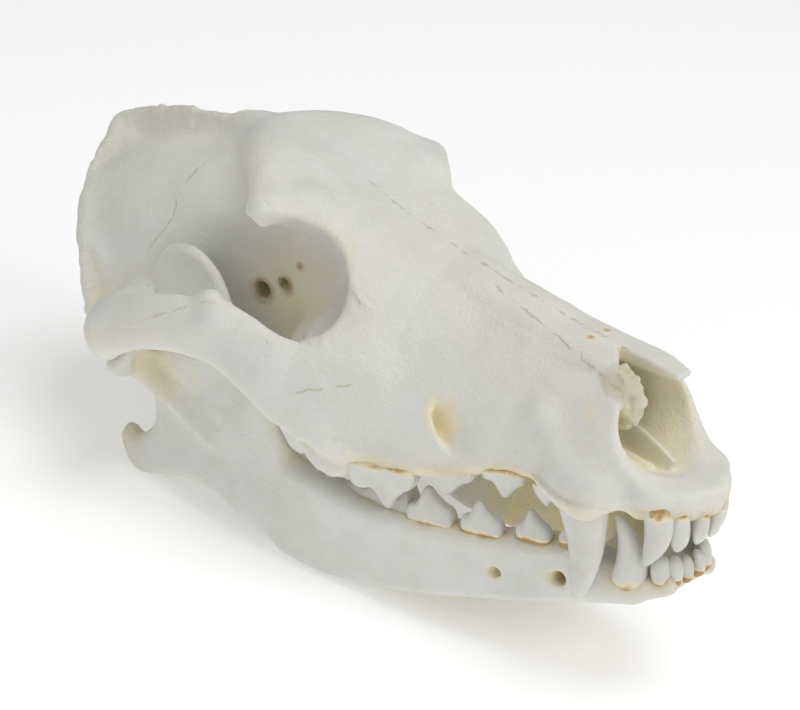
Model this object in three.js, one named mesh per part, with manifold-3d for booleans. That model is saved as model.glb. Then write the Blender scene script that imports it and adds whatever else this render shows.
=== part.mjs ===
// A dog's skull with its lower jaw closed, life size: dried bare bone that lies on a flat surface.
// Every bone is a blend of rounded shapes (ellipsoids, tapering rods, swept ribs, lofted bodies and
// plates), each known by its distance to any point, so that bone flows into bone as it grows.
// The blend is meshed once, thinned to few faces, parted with thin cuts and given its teeth.

import * as THREE from 'three';
import Module from 'manifold-3d';

const wasm = await Module();
wasm.setup();

// Axes while the bones are made, in millimetres: x from the back of the head to the front teeth,
// y to the animal's left, z up from the palate. A row of sizes reads in the order its comment gives.

// Driving sizes
const REST_PITCH = 8.8; // degrees that the nose tips up as the jaw lies on its belly and angles
const FLAT_DEPTH = 0.5; // bone worn away where the jaw touches the table
const PIECE_GAP = 0.36; // between bones that meet
const ARCH_CUT = 42; // the cheek arches start this far from the midline
const FACE_CUT = { x: 112, lean: 16 }; // where face and braincase part, and its lean in degrees
const BONE_STEP = 1.6; // mesh cell in bone
const TOOTH_STEP = 0.8; // mesh cell in a tooth
const CRANIUM_FACES = 6200;
const MANDIBLE_FACES = 1400;
const ROOT_DEPTH = 6; // length of a tooth's root in the bone
const ROOT_TAPER = 4; // depth in which a root thins
const BONE_COLOR = 0xe9e4d4;
const BONE_ROUGHNESS = 0.6;

// Braincase and the narrow core between the eye sockets:
// x, top, widest level, bottom, half width, power of the upper curve, power of the lower curve
const CORE = [
  [7, 55, 38, 20, 18, 2, 2],
  [14, 61, 36, 13, 27, 2, 2],
  [25, 65, 35, 10, 32, 2, 2.2],
  [38, 68, 35, 9, 33.5, 2, 2.2],
  [52, 71, 37, 10, 31.5, 2, 2.2],
  [66, 74, 42, 11, 27, 1.9, 2.4],
  [78, 76, 46, 11, 22, 2, 3],
  [88, 76, 44, 10, 19.5, 2.2, 4],
  [112, 68, 38, 8, 19.5, 2.4, 4.5],
  [140, 55, 30, 6, 18, 2, 3],
];

// Forehead, out to the temporal lines and the upper rims of the eye sockets, in the same order
const FOREHEAD = [
  [58, 77, 72, 60, 3, 2, 2],
  [66, 80, 73, 58, 8, 2.2, 1.8],
  [75, 82.5, 73, 57, 16, 2.5, 1.6],
  [84, 83, 72, 55, 24, 2.8, 1.4],
  [92, 82, 69, 53, 31, 2.8, 1.35],
  [99, 79.5, 66, 52, 36.5, 2.5, 1.4],
  [104, 76.5, 65, 50, 36.5, 2.3, 1.5],
  [110, 72.5, 64.5, 48, 29, 2.6, 1.6],
  [116, 69, 62.5, 44, 26, 2.8, 1.7],
  [124, 64, 57, 38, 26, 2.6, 1.9],
  [132, 59, 50, 32, 28, 2.4, 2],
  [142, 56, 42, 28, 26, 2, 2],
];

// Upper jaw and snout, in the same order
const SNOUT = [
  [114, 66, 16, 4, 34, 2.4, 3.5],
  [122, 63, 13, -2, 38.5, 2.5, 4],
  [130, 60.5, 10, -4, 40, 2.5, 4],
  [137, 58, 8, -2.2, 39.5, 2.3, 4],
  [144, 56, 6, -1, 38.6, 1.9, 5],
  [152, 54, 5, -0.5, 36.8, 1.65, 5],
  [160, 52, 4.5, 0, 34, 1.6, 5],
  [170, 49.6, 5.5, 2, 30.3, 1.7, 5],
  [180, 47.2, 8, 4.5, 26, 1.85, 4],
  [190, 44.6, 9, 5.5, 23.6, 2, 4],
  [200, 42.6, 8, 4, 22.6, 2.1, 4],
  [208, 41, 6, 2, 22.8, 2.1, 4],
  [216, 39.8, 5.5, 1.5, 21, 2.2, 4],
  [223, 38, 5.5, 1.5, 17.8, 2.3, 4],
  [230, 34, 6, 1.5, 12.8, 2.3, 4],
  [235, 29, 6.5, 2, 8, 2.3, 4],
  [239, 22, 8, 3, 3.5, 2.3, 3],
];

// The two nasal bones together, in the same order; the right one is broken off short
const NASALS = [
  [138, 57.4, 51, 47, 9, 2.4, 2],
  [153, 54.4, 49, 45, 9, 2.4, 2],
  [170, 50, 45, 42, 9.2, 2.6, 2],
  [187, 46, 41.5, 38.5, 9.5, 2.8, 2],
  [204, 42.6, 40, 38.8, 10, 3, 2],
  [216, 40.8, 38.6, 37.6, 9.5, 3, 2],
  [224, 39.4, 38, 37.2, 6.5, 2.4, 2],
];
const BROKEN_NASAL = { from: 203, slant: 0.8, side: 14, low: 34 };

// Ribs and crests: x, y, z, half height, half thickness
const SAGITTAL_CREST = [
  [6, 0, 63, 5.5, 1.8],
  [14, 0, 66, 6.5, 1.3],
  [30, 0, 69, 7, 1.2],
  [48, 0, 71.5, 6.5, 1.4],
  [64, 0, 73.5, 5.5, 2.2],
];
const NUCHAL_CREST = [
  [7.5, 0, 61, 7, 1.8],
  [9.5, 9, 56.5, 7, 1.5],
  [14, 18, 50, 6.5, 1.5],
  [20, 25.5, 43.5, 6.3, 1.5],
  [25.5, 31, 37, 6.3, 1.6],
  [28.5, 34.5, 29, 6, 1.9],
  [31, 36, 20, 5.5, 2.6],
];
const CREST_CENTER = [45, 0, 38]; // the nuchal crest fans out from here
const CHEEK_ARCH = [
  [142, 31, 22, 17, 5],
  [133, 38, 20.5, 17, 5.5],
  [124, 44, 21.6, 13.8, 5.2],
  [114, 49, 27.4, 10.4, 4.4],
  [103, 53, 34.2, 9.5, 3.6],
  [90, 57, 35.5, 8.6, 3.2],
  [76, 59, 33.5, 8.3, 3.4],
  [63, 57.5, 29, 9, 4.4],
  [52, 52.5, 23, 9.5, 6.5],
  [46.5, 45, 20, 9, 8],
  [46, 36, 21, 9, 9],
];
const ARCH_UP = [0, -0.15, 1];
const POSTORBITAL = [
  [110, 24, 67, 4, 5],
  [106, 30, 66.5, 3.8, 4.2],
  [103, 35.5, 65.8, 2.6, 2.2],
];
const PTERYGOID = [
  [122, 15, 10, 8, 2.5],
  [104, 13.5, 6, 9, 2.2],
  [88, 12.5, 3, 9, 2],
  [77, 12, -3, 4, 1.6],
];
const MOLAR_EDGE = [
  [117, 36, 5, 2.5, 2],
  [124, 38, -0.5, 2.6, 2.2],
  [130, 38.6, -2.6, 2.6, 2.2],
  [135.5, 38.2, -2.2, 2, 1.8],
];
const INFRAORBITAL = [
  [161.5, 28, 18.8, 4.2, 1.3],
  [167, 29.3, 17.5, 6, 2],
  [177, 33, 15, 8, 2.8],
];
const JAW_BODY = [
  [112, 34.3, -22, 15, 4.6],
  [126, 32, -25, 15.5, 5.6],
  [140, 29.5, -26.2, 14, 6],
  [155, 27, -25.8, 12.7, 6],
  [170, 23.6, -24.3, 11.3, 5.6],
  [185, 19.6, -22.6, 10.5, 5.4],
  [200, 14.6, -20.2, 9.7, 5.2],
  [212, 10.8, -19.9, 6.5, 5.4],
  [222, 8.4, -19.5, 3.3, 6],
  [228.5, 6, -17.9, 2.5, 5.2],
];
const JAW_BODY_UP = [0, 0.12, 1];

// Outline of the upright branch of the lower jaw, x and z: front edge, coronoid process, joint
// notch, angular process and lower border
const JAW_BRANCH = [
  [114, -10], [105.5, 4], [99, 18], [93.5, 30], [88.5, 41], [83.5, 47.5], [75, 51.5], [65, 49.5], [59, 42], [57.5, 33],
  [60, 22], [58, 15], [50, 13], [47, 6], [53, 1], [55, -5], [53.5, -12], [47, -17], [42, -15],
  [39.5, -19], [42, -26], [48, -30], [60, -27.5], [73, -25.5], [83, -27.5], [92, -31.5],
  [108, -36.5], [118, -38], [126, -36],
];
const JAW_JOINT = { at: [50.5, 42, 10.5], radii: [5, 11.5, 5], turn: [0, 0, -12], play: 1.9 };

// Crown outlines, as shares of a tooth's length (rear to front) and of its height
const PREMOLAR = [
  [-0.5, 0.0], [-0.5, 0.3], [-0.42, 0.42], [-0.3, 0.42], [-0.2, 0.6], [-0.1, 0.92], [-0.02, 1],
  [0.06, 0.98], [0.15, 0.8], [0.3, 0.5], [0.44, 0.36], [0.5, 0.0],
];
const LOWER_PREMOLAR = [
  [-0.5, 0.0], [-0.5, 0.3], [-0.42, 0.42], [-0.32, 0.46], [-0.24, 0.7], [-0.16, 0.95], [-0.08, 1],
  [0.0, 0.93], [0.12, 0.72], [0.28, 0.54], [0.44, 0.4], [0.5, 0.0],
];
const PEG = [[-0.5, 0.05], [-0.4, 0.5], [-0.05, 1], [0.1, 1], [0.42, 0.4], [0.5, 0.05]];
const UPPER_CARNASSIAL = [
  [-0.5, 0.0], [-0.5, 0.4], [-0.42, 0.6], [-0.28, 0.62], [-0.17, 0.56], [-0.1, 0.66], [-0.02, 0.9],
  [0.05, 1], [0.11, 0.97], [0.2, 0.72], [0.34, 0.5], [0.46, 0.36], [0.5, 0.0],
];
const LOWER_CARNASSIAL = [
  [-0.5, 0.02], [-0.48, 0.34], [-0.3, 0.42], [-0.16, 0.4], [-0.1, 0.72], [0.02, 1], [0.09, 0.97],
  [0.17, 0.6], [0.22, 0.58], [0.33, 0.8], [0.41, 0.76], [0.48, 0.3], [0.5, 0.02],
];

// Molar cusps, as shares of length, width and height
const MOLAR_CUSPS = [[0.22, 0.3, 1], [-0.22, 0.3, 0.85], [0.2, -0.25, 0.55], [-0.2, -0.25, 0.45]];

// Curved crowns as swept rows: shift along the row and outward in shares of the length, height as a
// share of the crown's (below 0 in the root), half width and half length as shares
const INCISOR = [
  [0, -0.3, -0.4, 0.26, 0.28], [0, -0.04, -0.2, 0.4, 0.36], [0, 0.03, 0.35, 0.4, 0.48],
  [0, -0.05, 0.72, 0.27, 0.46], [0, -0.16, 0.92, 0.13, 0.3],
];
const CORNER_INCISOR = [
  [-0.05, -0.3, -0.4, 0.26, 0.26], [0.05, -0.02, -0.14, 0.46, 0.44], [0.12, 0.02, 0.25, 0.48, 0.45],
  [0.02, 0.03, 0.6, 0.38, 0.36], [-0.22, 0.03, 0.92, 0.17, 0.15],
];
const UPPER_CANINE = [
  [-0.25, -0.15, -0.25, 0.3, 0.3], [-0.02, 0, -0.04, 0.52, 0.52], [0.12, 0.07, 0.3, 0.46, 0.42],
  [0.14, 0.13, 0.6, 0.37, 0.31], [0.05, 0.14, 0.85, 0.25, 0.2], [-0.02, 0.14, 0.95, 0.16, 0.12],
];
const LOWER_CANINE = [
  [-0.2, -0.14, -0.16, 0.28, 0.26], [0, 0, -0.04, 0.5, 0.45], [0.13, 0.13, 0.3, 0.45, 0.4],
  [0.07, 0.22, 0.6, 0.34, 0.29], [-0.1, 0.26, 0.85, 0.2, 0.16], [-0.25, 0.24, 0.96, 0.1, 0.08],
];

// Teeth of the left side: place at the gum, heading of the row in degrees, length along the row,
// width across it, crown height, crown, faces
const UPPER_TEETH = [
  [[235.3, 3.2, 3], 80, 4.8, 5.5, 8.5, curved(INCISOR), 36],
  [[232.5, 8.6, 3.6], 58, 5.5, 6.2, 10.5, curved(INCISOR), 36],
  [[227.6, 13.4, 4.5], 35, 9, 7.5, 15.5, curved(CORNER_INCISOR), 48],
  [[208.3, 20.6, 5], 12, 14, 9.5, 29, curved(UPPER_CANINE), 84],
  [[195.7, 20.9, 6], 12, 7.5, 5, 6.5, blade(PEG), 30],
  [[182.6, 22.8, 6.4], 14, 13, 5.5, 8, blade(PREMOLAR), 54],
  [[165.6, 28.2, 4.6], 17, 17.5, 6, 8.6, blade(PREMOLAR), 54],
  [[147.5, 34.2, 1.6], 14, 21, 8, 13, blade(UPPER_CARNASSIAL), 74],
  [[130.5, 32, 1.5], -8, 13.5, 14, 5, molar, 70],
  [[120.5, 30, 3], -20, 8, 11, 4, molar, 50],
];
const LOWER_TEETH = [
  [[230.8, 2.6, -16.3], 80, 4.2, 5, 4.6, curved(INCISOR), 34],
  [[229.8, 6.4, -16.3], 65, 4.8, 5.5, 5.2, curved(INCISOR), 34],
  [[227.2, 9.6, -16.8], 45, 5.8, 6, 6, curved(INCISOR), 34],
  [[218.2, 12.4, -18.4], 20, 11, 8.5, 20.1, curved(LOWER_CANINE), 76],
  [[201.5, 18, -10], 14, 5, 4.5, 4.6, blade(PEG), 30],
  [[191.6, 20.6, -11], 14, 10.5, 5, 8, blade(LOWER_PREMOLAR), 54],
  [[176.2, 24.5, -12.6], 13, 13, 5.5, 8.6, blade(LOWER_PREMOLAR), 54],
  [[160.1, 27.8, -13.4], 12, 14.5, 6.5, 10, blade(LOWER_PREMOLAR), 54],
  [[141, 28, -14], 8, 24, 9, 11.5, blade(LOWER_CARNASSIAL), 70],
  [[122.5, 30.8, -11.5], 8, 9.5, 7.5, 6, molar, 50],
  [[114, 32.5, -8.5], 8, 5, 4.5, 3.2, blade(PEG), 30],
];

// Small helpers
const MIDDLE = [1];
const BOTH_SIDES = [1, -1];
const FAR_AWAY = 60;
const TINY = 1e-9;
const clamp = THREE.MathUtils.clamp;
const radians = THREE.MathUtils.degToRad;

function smoothMin(a, b, blend) {
  if (blend <= 0) return Math.min(a, b);
  const near = Math.max(blend - Math.abs(a - b), 0) / blend;
  return Math.min(a, b) - near * near * blend * 0.25;
}

function smoothMax(a, b, blend) {
  return -smoothMin(-a, -b, blend);
}

// A smooth line through knots, with averaged slopes, level past both ends
function smoothLine(places, values) {
  const last = places.length - 1;
  const steps = places.slice(1).map((p, i) => (values[i + 1] - values[i]) / (p - places[i]));
  const slope = (i) => (steps[Math.max(i - 1, 0)] + steps[Math.min(i, last - 1)]) / 2;
  return (place) => {
    const p = clamp(place, places[0], places[last]);
    let i = 0;
    while (i < last - 1 && p > places[i + 1]) i += 1;
    const width = places[i + 1] - places[i];
    const t = (p - places[i]) / width;
    const s = 1 - t;
    return (1 + 2 * t) * s * s * values[i] + t * s * s * width * slope(i)
      + t * t * (3 - 2 * t) * values[i + 1] - t * t * s * width * slope(i + 1);
  };
}

const column = (rows, index) => rows.map((row) => row[index]);

// Rounded shapes: the box that holds each one, and its distance function, negative inside

function ellipsoid(at, radii, turn = [0, 0, 0]) {
  const euler = new THREE.Euler(...turn.map(radians), 'ZYX');
  const e = new THREE.Matrix4().makeRotationFromEuler(euler).elements;
  const axes = [0, 1, 2].map((i) => [e[4 * i], e[4 * i + 1], e[4 * i + 2]]);
  const reach = [0, 1, 2].map((row) => Math.hypot(...axes.map((axis, i) => axis[row] * radii[i])));
  const dist = (x, y, z) => {
    let near = TINY;
    let steep = TINY;
    for (let i = 0; i < 3; i += 1) {
      const [ax, ay, az] = axes[i];
      const along = (ax * (x - at[0]) + ay * (y - at[1]) + az * (z - at[2])) / radii[i];
      near += along * along;
      steep += (along / radii[i]) ** 2;
    }
    const scale = Math.sqrt(near);
    return scale * (scale - 1) / Math.sqrt(steep);
  };
  return { low: at.map((c, i) => c - reach[i]), high: at.map((c, i) => c + reach[i]), dist };
}

function rod(from, to, fromRadius, toRadius) {
  const run = to.map((v, i) => v - from[i]);
  const square = run[0] ** 2 + run[1] ** 2 + run[2] ** 2;
  const big = Math.max(fromRadius, toRadius);
  const dist = (x, y, z) => {
    const [dx, dy, dz] = [x - from[0], y - from[1], z - from[2]];
    const t = clamp((dx * run[0] + dy * run[1] + dz * run[2]) / square, 0, 1);
    const off = Math.hypot(dx - t * run[0], dy - t * run[1], dz - t * run[2]);
    return off - (fromRadius + t * (toRadius - fromRadius));
  };
  return {
    low: from.map((v, i) => Math.min(v, to[i]) - big),
    high: from.map((v, i) => Math.max(v, to[i]) + big),
    dist,
  };
}

// Sections of a rib: distance from the place at h along its height, w along its thickness and l past
// its end, for half a height and half a thickness

function oval(h, w, l, height, thick) {
  const scale = Math.sqrt((h / height) ** 2 + (w / thick) ** 2 + (l / thick) ** 2 + TINY);
  const steep = Math.sqrt((h / height ** 2) ** 2 + (w / thick ** 2) ** 2 + (l / thick ** 2) ** 2 + TINY);
  return scale * (scale - 1) / steep;
}

function band(h, w, l, height, thick) {
  const beyond = Math.max(Math.abs(h) - Math.max(height - thick, 0), 0);
  return Math.hypot(beyond, w, l) - thick;
}

function slab(h, w, l, height, thick) {
  const corner = 0.75 * Math.min(height, thick);
  const up = Math.abs(h) - (height - corner);
  const out = Math.abs(w) - (thick - corner);
  return Math.hypot(Math.max(up, 0), Math.max(out, 0), l) + Math.min(Math.max(up, out), 0) - corner;
}

// A section along a smooth path; its height points along up, or away from a center
function rib(rows, { up = [0, 0, 1], center = null, steps = 18, section = oval } = {}) {
  const ends = rows.map((row) => new THREE.Vector3(...row.slice(0, 3)));
  const travel = [0];
  for (let i = 1; i < ends.length; i += 1) travel.push(travel[i - 1] + ends[i].distanceTo(ends[i - 1]));
  const lines = [0, 1, 2, 3, 4].map((i) => smoothLine(travel, column(rows, i)));
  const total = travel[travel.length - 1];
  const path = Array.from({ length: steps }, (_, i) => lines.map((line) => line(total * i / (steps - 1))));
  const spans = path.slice(1).map((to, i) => {
    const from = path[i];
    const a = new THREE.Vector3(...from.slice(0, 3));
    const run = new THREE.Vector3(...to.slice(0, 3)).sub(a);
    const along = run.clone().normalize();
    const middle = a.clone().addScaledVector(run, 0.5);
    const rise = center ? middle.sub(new THREE.Vector3(...center)) : new THREE.Vector3(...up);
    rise.addScaledVector(along, -rise.dot(along)).normalize();
    return { from, to, a, run, along, rise, side: along.clone().cross(rise), square: run.lengthSq() };
  });
  const spot = new THREE.Vector3();
  const dist = (x, y, z) => {
    let best = Infinity;
    for (const { from, to, a, run, along, rise, side, square } of spans) {
      spot.set(x, y, z).sub(a);
      const t = clamp(spot.dot(run) / square, 0, 1);
      spot.addScaledVector(run, -t);
      const height = from[3] + t * (to[3] - from[3]);
      const thick = from[4] + t * (to[4] - from[4]);
      best = Math.min(best, section(spot.dot(rise), spot.dot(side), spot.dot(along), height, thick));
    }
    return best;
  };
  const big = Math.max(...path.map((row) => Math.max(row[3], row[4])));
  return {
    low: [0, 1, 2].map((i) => Math.min(...column(path, i)) - big),
    high: [0, 1, 2].map((i) => Math.max(...column(path, i)) + big),
    dist,
  };
}

// A body lofted along x; each section is two half ovals that meet at its widest level
function loft(rows, roundEnds) {
  const places = column(rows, 0);
  const lines = [1, 2, 3, 4, 5, 6].map((i) => smoothLine(places, column(rows, i)));
  const [start, end] = [places[0], places[places.length - 1]];
  const wide = Math.max(...column(rows, 4));
  let lastX = null;
  let section = [];
  const dist = (x, y, z) => {
    if (x !== lastX) section = lines.map((line) => line(x));
    lastX = x;
    const [top, level, bottom, width, upper, lower] = section;
    const power = z >= level ? upper : lower;
    const height = z >= level ? top - level : level - bottom;
    const share = Math.abs(y / width) ** power + Math.abs((z - level) / height) ** power;
    const skin = ((share + TINY) ** (1 / power) - 1) * Math.min(width, height) * 0.9;
    return smoothMax(skin, Math.max(start - x, x - end), roundEnds);
  };
  return {
    low: [start, -wide, Math.min(...column(rows, 3))],
    high: [end, wide, Math.max(...column(rows, 1))],
    dist,
  };
}

// A closed outline drawn smoothly through its corners
function rounded(corners, parts = 3) {
  const count = corners.length;
  return corners.flatMap((corner, i) => {
    const before = corners[(i + count - 1) % count];
    const after = corners[(i + 1) % count];
    const beyond = corners[(i + 2) % count];
    return Array.from({ length: parts }, (_, n) => corner.map((c, axis) => {
      const t = n / parts;
      const [p, q, r] = [before[axis], after[axis], beyond[axis]];
      return c + ((q - p) * t + (2 * p - 5 * c + 4 * q - r) * t * t + (3 * c - p - 3 * q + r) * t * t * t) / 2;
    }));
  });
}

// A plate with an outline in x and z, and half its thickness on each side of its middle surface
function plate(corners, middle, half, round, reachY) {
  const outline = rounded(corners);
  const edge = (x, z) => {
    let near = Infinity;
    let sign = 1;
    outline.forEach(([ax, az], i) => {
      const [bx, bz] = outline[(i + outline.length - 1) % outline.length];
      const [ex, ez, wx, wz] = [bx - ax, bz - az, x - ax, z - az];
      const t = clamp((wx * ex + wz * ez) / (ex * ex + ez * ez), 0, 1);
      near = Math.min(near, (wx - ex * t) ** 2 + (wz - ez * t) ** 2);
      const tests = [z >= az, z < bz, ex * wz > ez * wx];
      if (tests.every(Boolean) || !tests.some(Boolean)) sign = -sign;
    });
    return sign * Math.sqrt(near);
  };
  return {
    low: [Math.min(...column(outline, 0)), reachY[0], Math.min(...column(outline, 1))],
    high: [Math.max(...column(outline, 0)), reachY[1], Math.max(...column(outline, 1))],
    dist: (x, y, z) => smoothMax(edge(x, z), Math.abs(y - middle(x, z)) - half(x, z), round),
  };
}

// A block of distances on a grid, which shapes are joined to or cut from
class Field {
  constructor(low, high, step) {
    this.low = low;
    this.step = step;
    this.size = low.map((l, i) => Math.ceil((high[i] - l) / step) + 1);
    this.value = new Float32Array(this.size[0] * this.size[1] * this.size[2]).fill(FAR_AWAY);
  }

  apply(shape, blend, sides, combine) {
    const margin = blend + 2 * this.step;
    for (const side of sides) {
      const low = [...shape.low];
      const high = [...shape.high];
      if (side < 0) [low[1], high[1]] = [-shape.high[1], -shape.low[1]];
      const first = low.map((l, i) => Math.max(0, Math.floor((l - margin - this.low[i]) / this.step)));
      const stop = high.map((h, i) => {
        return Math.min(this.size[i], Math.ceil((h + margin - this.low[i]) / this.step) + 1);
      });
      for (let i = first[0]; i < stop[0]; i += 1) {
        for (let j = first[1]; j < stop[1]; j += 1) {
          for (let k = first[2]; k < stop[2]; k += 1) {
            const [x, y, z] = this.point(i, j, k);
            const at = this.index(i, j, k);
            this.value[at] = combine(this.value[at], shape.dist(x, y * side, z), blend);
          }
        }
      }
    }
  }

  join(shape, blend = 0, sides = MIDDLE) {
    this.apply(shape, blend, sides, smoothMin);
  }

  cut(shape, blend = 0, sides = MIDDLE) {
    this.apply(shape, blend, sides, (a, b, k) => smoothMax(a, -b, k));
  }

  index(i, j, k) {
    return (i * this.size[1] + j) * this.size[2] + k;
  }

  point(i, j, k) {
    return [this.low[0] + i * this.step, this.low[1] + j * this.step, this.low[2] + k * this.step];
  }
}

// Meshing: each grid cell is six tetrahedra, and the skin crosses their edges where the sign changes

const CORNERS = [[0, 0, 0], [1, 0, 0], [1, 1, 0], [0, 1, 0], [0, 0, 1], [1, 0, 1], [1, 1, 1], [0, 1, 1]];
const TETRAHEDRA = [[0, 1, 2, 6], [0, 2, 3, 6], [0, 3, 7, 6], [0, 7, 4, 6], [0, 4, 5, 6], [0, 5, 1, 6]];

function skinOf(field) {
  const vertices = [];
  const faces = [];
  const known = new Map();
  const total = field.value.length;
  const crossing = (a, b) => {
    const key = Math.min(a.id, b.id) * total + Math.max(a.id, b.id);
    if (!known.has(key)) {
      const t = clamp(a.value / (a.value - b.value), 0.05, 0.95);
      known.set(key, vertices.length);
      vertices.push(a.place.map((v, i) => v + t * (b.place[i] - v)));
    }
    return known.get(key);
  };
  const addFace = (face, inside, outside) => {
    const [p, q, r] = face.map((i) => new THREE.Vector3(...vertices[i]));
    const out = new THREE.Vector3(...outside.place).sub(new THREE.Vector3(...inside.place));
    const faceOut = q.sub(p).cross(r.sub(p)).dot(out) > 0;
    faces.push(faceOut ? face : [face[0], face[2], face[1]]);
  };
  const cutCorner = (lone, others, loneInside) => {
    const face = others.map((other) => crossing(lone, other));
    addFace(face, loneInside ? lone : others[0], loneInside ? others[0] : lone);
  };
  for (let i = 0; i < field.size[0] - 1; i += 1) {
    for (let j = 0; j < field.size[1] - 1; j += 1) {
      for (let k = 0; k < field.size[2] - 1; k += 1) {
        const ids = CORNERS.map(([di, dj, dk]) => field.index(i + di, j + dj, k + dk));
        const count = ids.reduce((sum, id) => sum + (field.value[id] < 0 ? 1 : 0), 0);
        if (count === 0 || count === 8) continue;
        const cell = ids.map((id, c) => ({
          id,
          value: field.value[id],
          place: field.point(i + CORNERS[c][0], j + CORNERS[c][1], k + CORNERS[c][2]),
        }));
        for (const tetrahedron of TETRAHEDRA) {
          const four = tetrahedron.map((c) => cell[c]);
          const inside = four.filter((corner) => corner.value < 0);
          const outside = four.filter((corner) => corner.value >= 0);
          if (inside.length === 1) cutCorner(inside[0], outside, true);
          if (inside.length === 3) cutCorner(outside[0], inside, false);
          if (inside.length === 2) {
            const [a, b] = inside;
            const [c, d] = outside;
            addFace([crossing(a, c), crossing(a, d), crossing(b, d)], a, c);
            addFace([crossing(a, c), crossing(b, d), crossing(b, c)], a, c);
          }
        }
      }
    }
  }
  return { vertices, faces };
}

// Thinning: edges fold up in the order of least harm to the skin, by squared distance to its planes

class Heap {
  constructor() {
    this.items = [];
  }

  push(item) {
    const { items } = this;
    let at = items.push(item) - 1;
    while (at > 0) {
      const parent = (at - 1) >> 1;
      if (items[parent].cost <= item.cost) break;
      items[at] = items[parent];
      at = parent;
    }
    items[at] = item;
  }

  pop() {
    const { items } = this;
    const top = items[0];
    const last = items.pop();
    if (items.length === 0) return top;
    let at = 0;
    for (;;) {
      let child = 2 * at + 1;
      if (child >= items.length) break;
      if (child + 1 < items.length && items[child + 1].cost < items[child].cost) child += 1;
      if (items[child].cost >= last.cost) break;
      items[at] = items[child];
      at = child;
    }
    items[at] = last;
    return top;
  }
}

const PLANE_PAIRS = [[0, 0], [0, 1], [0, 2], [0, 3], [1, 1], [1, 2], [1, 3], [2, 2], [2, 3], [3, 3]];
const CALM = 1e-4; // a little pull towards the old corners, so that flat areas stay even
const MIN_TURN = 0.25; // a face may not turn further than this cosine when an edge folds

function thinned({ vertices, faces }, target) {
  const places = vertices.map((v) => [...v]);
  const around = places.map(() => new Set());
  const planes = places.map(() => new Float64Array(10));
  const stamp = new Uint32Array(places.length);
  const heap = new Heap();
  let left = faces.length;

  const normalOf = ([a, b, c]) => {
    const [ux, uy, uz] = [b[0] - a[0], b[1] - a[1], b[2] - a[2]];
    const [vx, vy, vz] = [c[0] - a[0], c[1] - a[1], c[2] - a[2]];
    return [uy * vz - uz * vy, uz * vx - ux * vz, ux * vy - uy * vx];
  };
  const addPlane = (vertex, plane, weight) => {
    PLANE_PAIRS.forEach(([i, j], n) => {
      planes[vertex][n] += weight * plane[i] * plane[j];
    });
  };
  faces.forEach((face, f) => {
    const corners = face.map((v) => places[v]);
    const normal = normalOf(corners);
    const area = Math.hypot(...normal) + TINY;
    const unit = normal.map((n) => n / area);
    const offset = -(unit[0] * corners[0][0] + unit[1] * corners[0][1] + unit[2] * corners[0][2]);
    face.forEach((v) => {
      around[v].add(f);
      addPlane(v, [...unit, offset], area);
    });
  });
  places.forEach((place, v) => {
    for (let i = 0; i < 3; i += 1) {
      addPlane(v, [i === 0 ? 1 : 0, i === 1 ? 1 : 0, i === 2 ? 1 : 0, -place[i]], CALM);
    }
  });

  const harm = (q, [x, y, z]) => q[0] * x * x + 2 * q[1] * x * y + 2 * q[2] * x * z + 2 * q[3] * x
    + q[4] * y * y + 2 * q[5] * y * z + 2 * q[6] * y + q[7] * z * z + 2 * q[8] * z + q[9];
  const best = (q, a, b) => {
    const m = new THREE.Matrix3().set(q[0], q[1], q[2], q[1], q[4], q[5], q[2], q[5], q[7]);
    const middle = a.map((v, i) => (v + b[i]) / 2);
    const length = Math.hypot(a[0] - b[0], a[1] - b[1], a[2] - b[2]);
    if (Math.abs(m.determinant()) < TINY) return middle;
    const spot = new THREE.Vector3(-q[3], -q[6], -q[8]).applyMatrix3(m.invert()).toArray();
    const far = Math.hypot(spot[0] - middle[0], spot[1] - middle[1], spot[2] - middle[2]);
    return far > length ? middle : spot;
  };
  const offer = (a, b) => {
    const sum = planes[a].map((v, i) => v + planes[b][i]);
    const spot = best(sum, places[a], places[b]);
    heap.push({ cost: harm(sum, spot), a, b, spot, stampA: stamp[a], stampB: stamp[b] });
  };
  const neighbours = (v) => {
    const found = new Set();
    around[v].forEach((f) => faces[f].forEach((w) => found.add(w)));
    found.delete(v);
    return found;
  };
  const turnsOver = (v, other, spot) => [...around[v]].some((f) => {
    if (faces[f].includes(other)) return false;
    const before = normalOf(faces[f].map((w) => places[w]));
    const after = normalOf(faces[f].map((w) => (w === v ? spot : places[w])));
    const dot = before[0] * after[0] + before[1] * after[1] + before[2] * after[2];
    return dot < MIN_TURN * Math.hypot(...before) * Math.hypot(...after) + TINY;
  });

  faces.forEach((face) => face.forEach((a, i) => {
    const b = face[(i + 1) % 3];
    if (a < b) offer(a, b);
  }));
  while (left > target && heap.items.length > 0) {
    const { a, b, spot, stampA, stampB } = heap.pop();
    if (stamp[a] !== stampA || stamp[b] !== stampB) continue;
    const nearA = neighbours(a);
    const shared = [...neighbours(b)].filter((v) => nearA.has(v));
    if (shared.length !== 2 || shared.some((v) => around[v].size < 4)) continue;
    if (turnsOver(a, b, spot) || turnsOver(b, a, spot)) continue;
    [...around[b]].forEach((f) => {
      if (faces[f].includes(a)) {
        faces[f].forEach((v) => around[v].delete(f));
        faces[f] = null;
        left -= 1;
      } else {
        faces[f] = faces[f].map((v) => (v === b ? a : v));
        around[a].add(f);
      }
    });
    around[b].clear();
    places[a] = spot;
    planes[a] = planes[a].map((v, i) => v + planes[b][i]);
    stamp[a] += 1;
    stamp[b] += 1;
    neighbours(a).forEach((v) => offer(a, v));
  }
  return { vertices: places, faces: faces.filter(Boolean) };
}

// Solids that can be joined and cut

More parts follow.
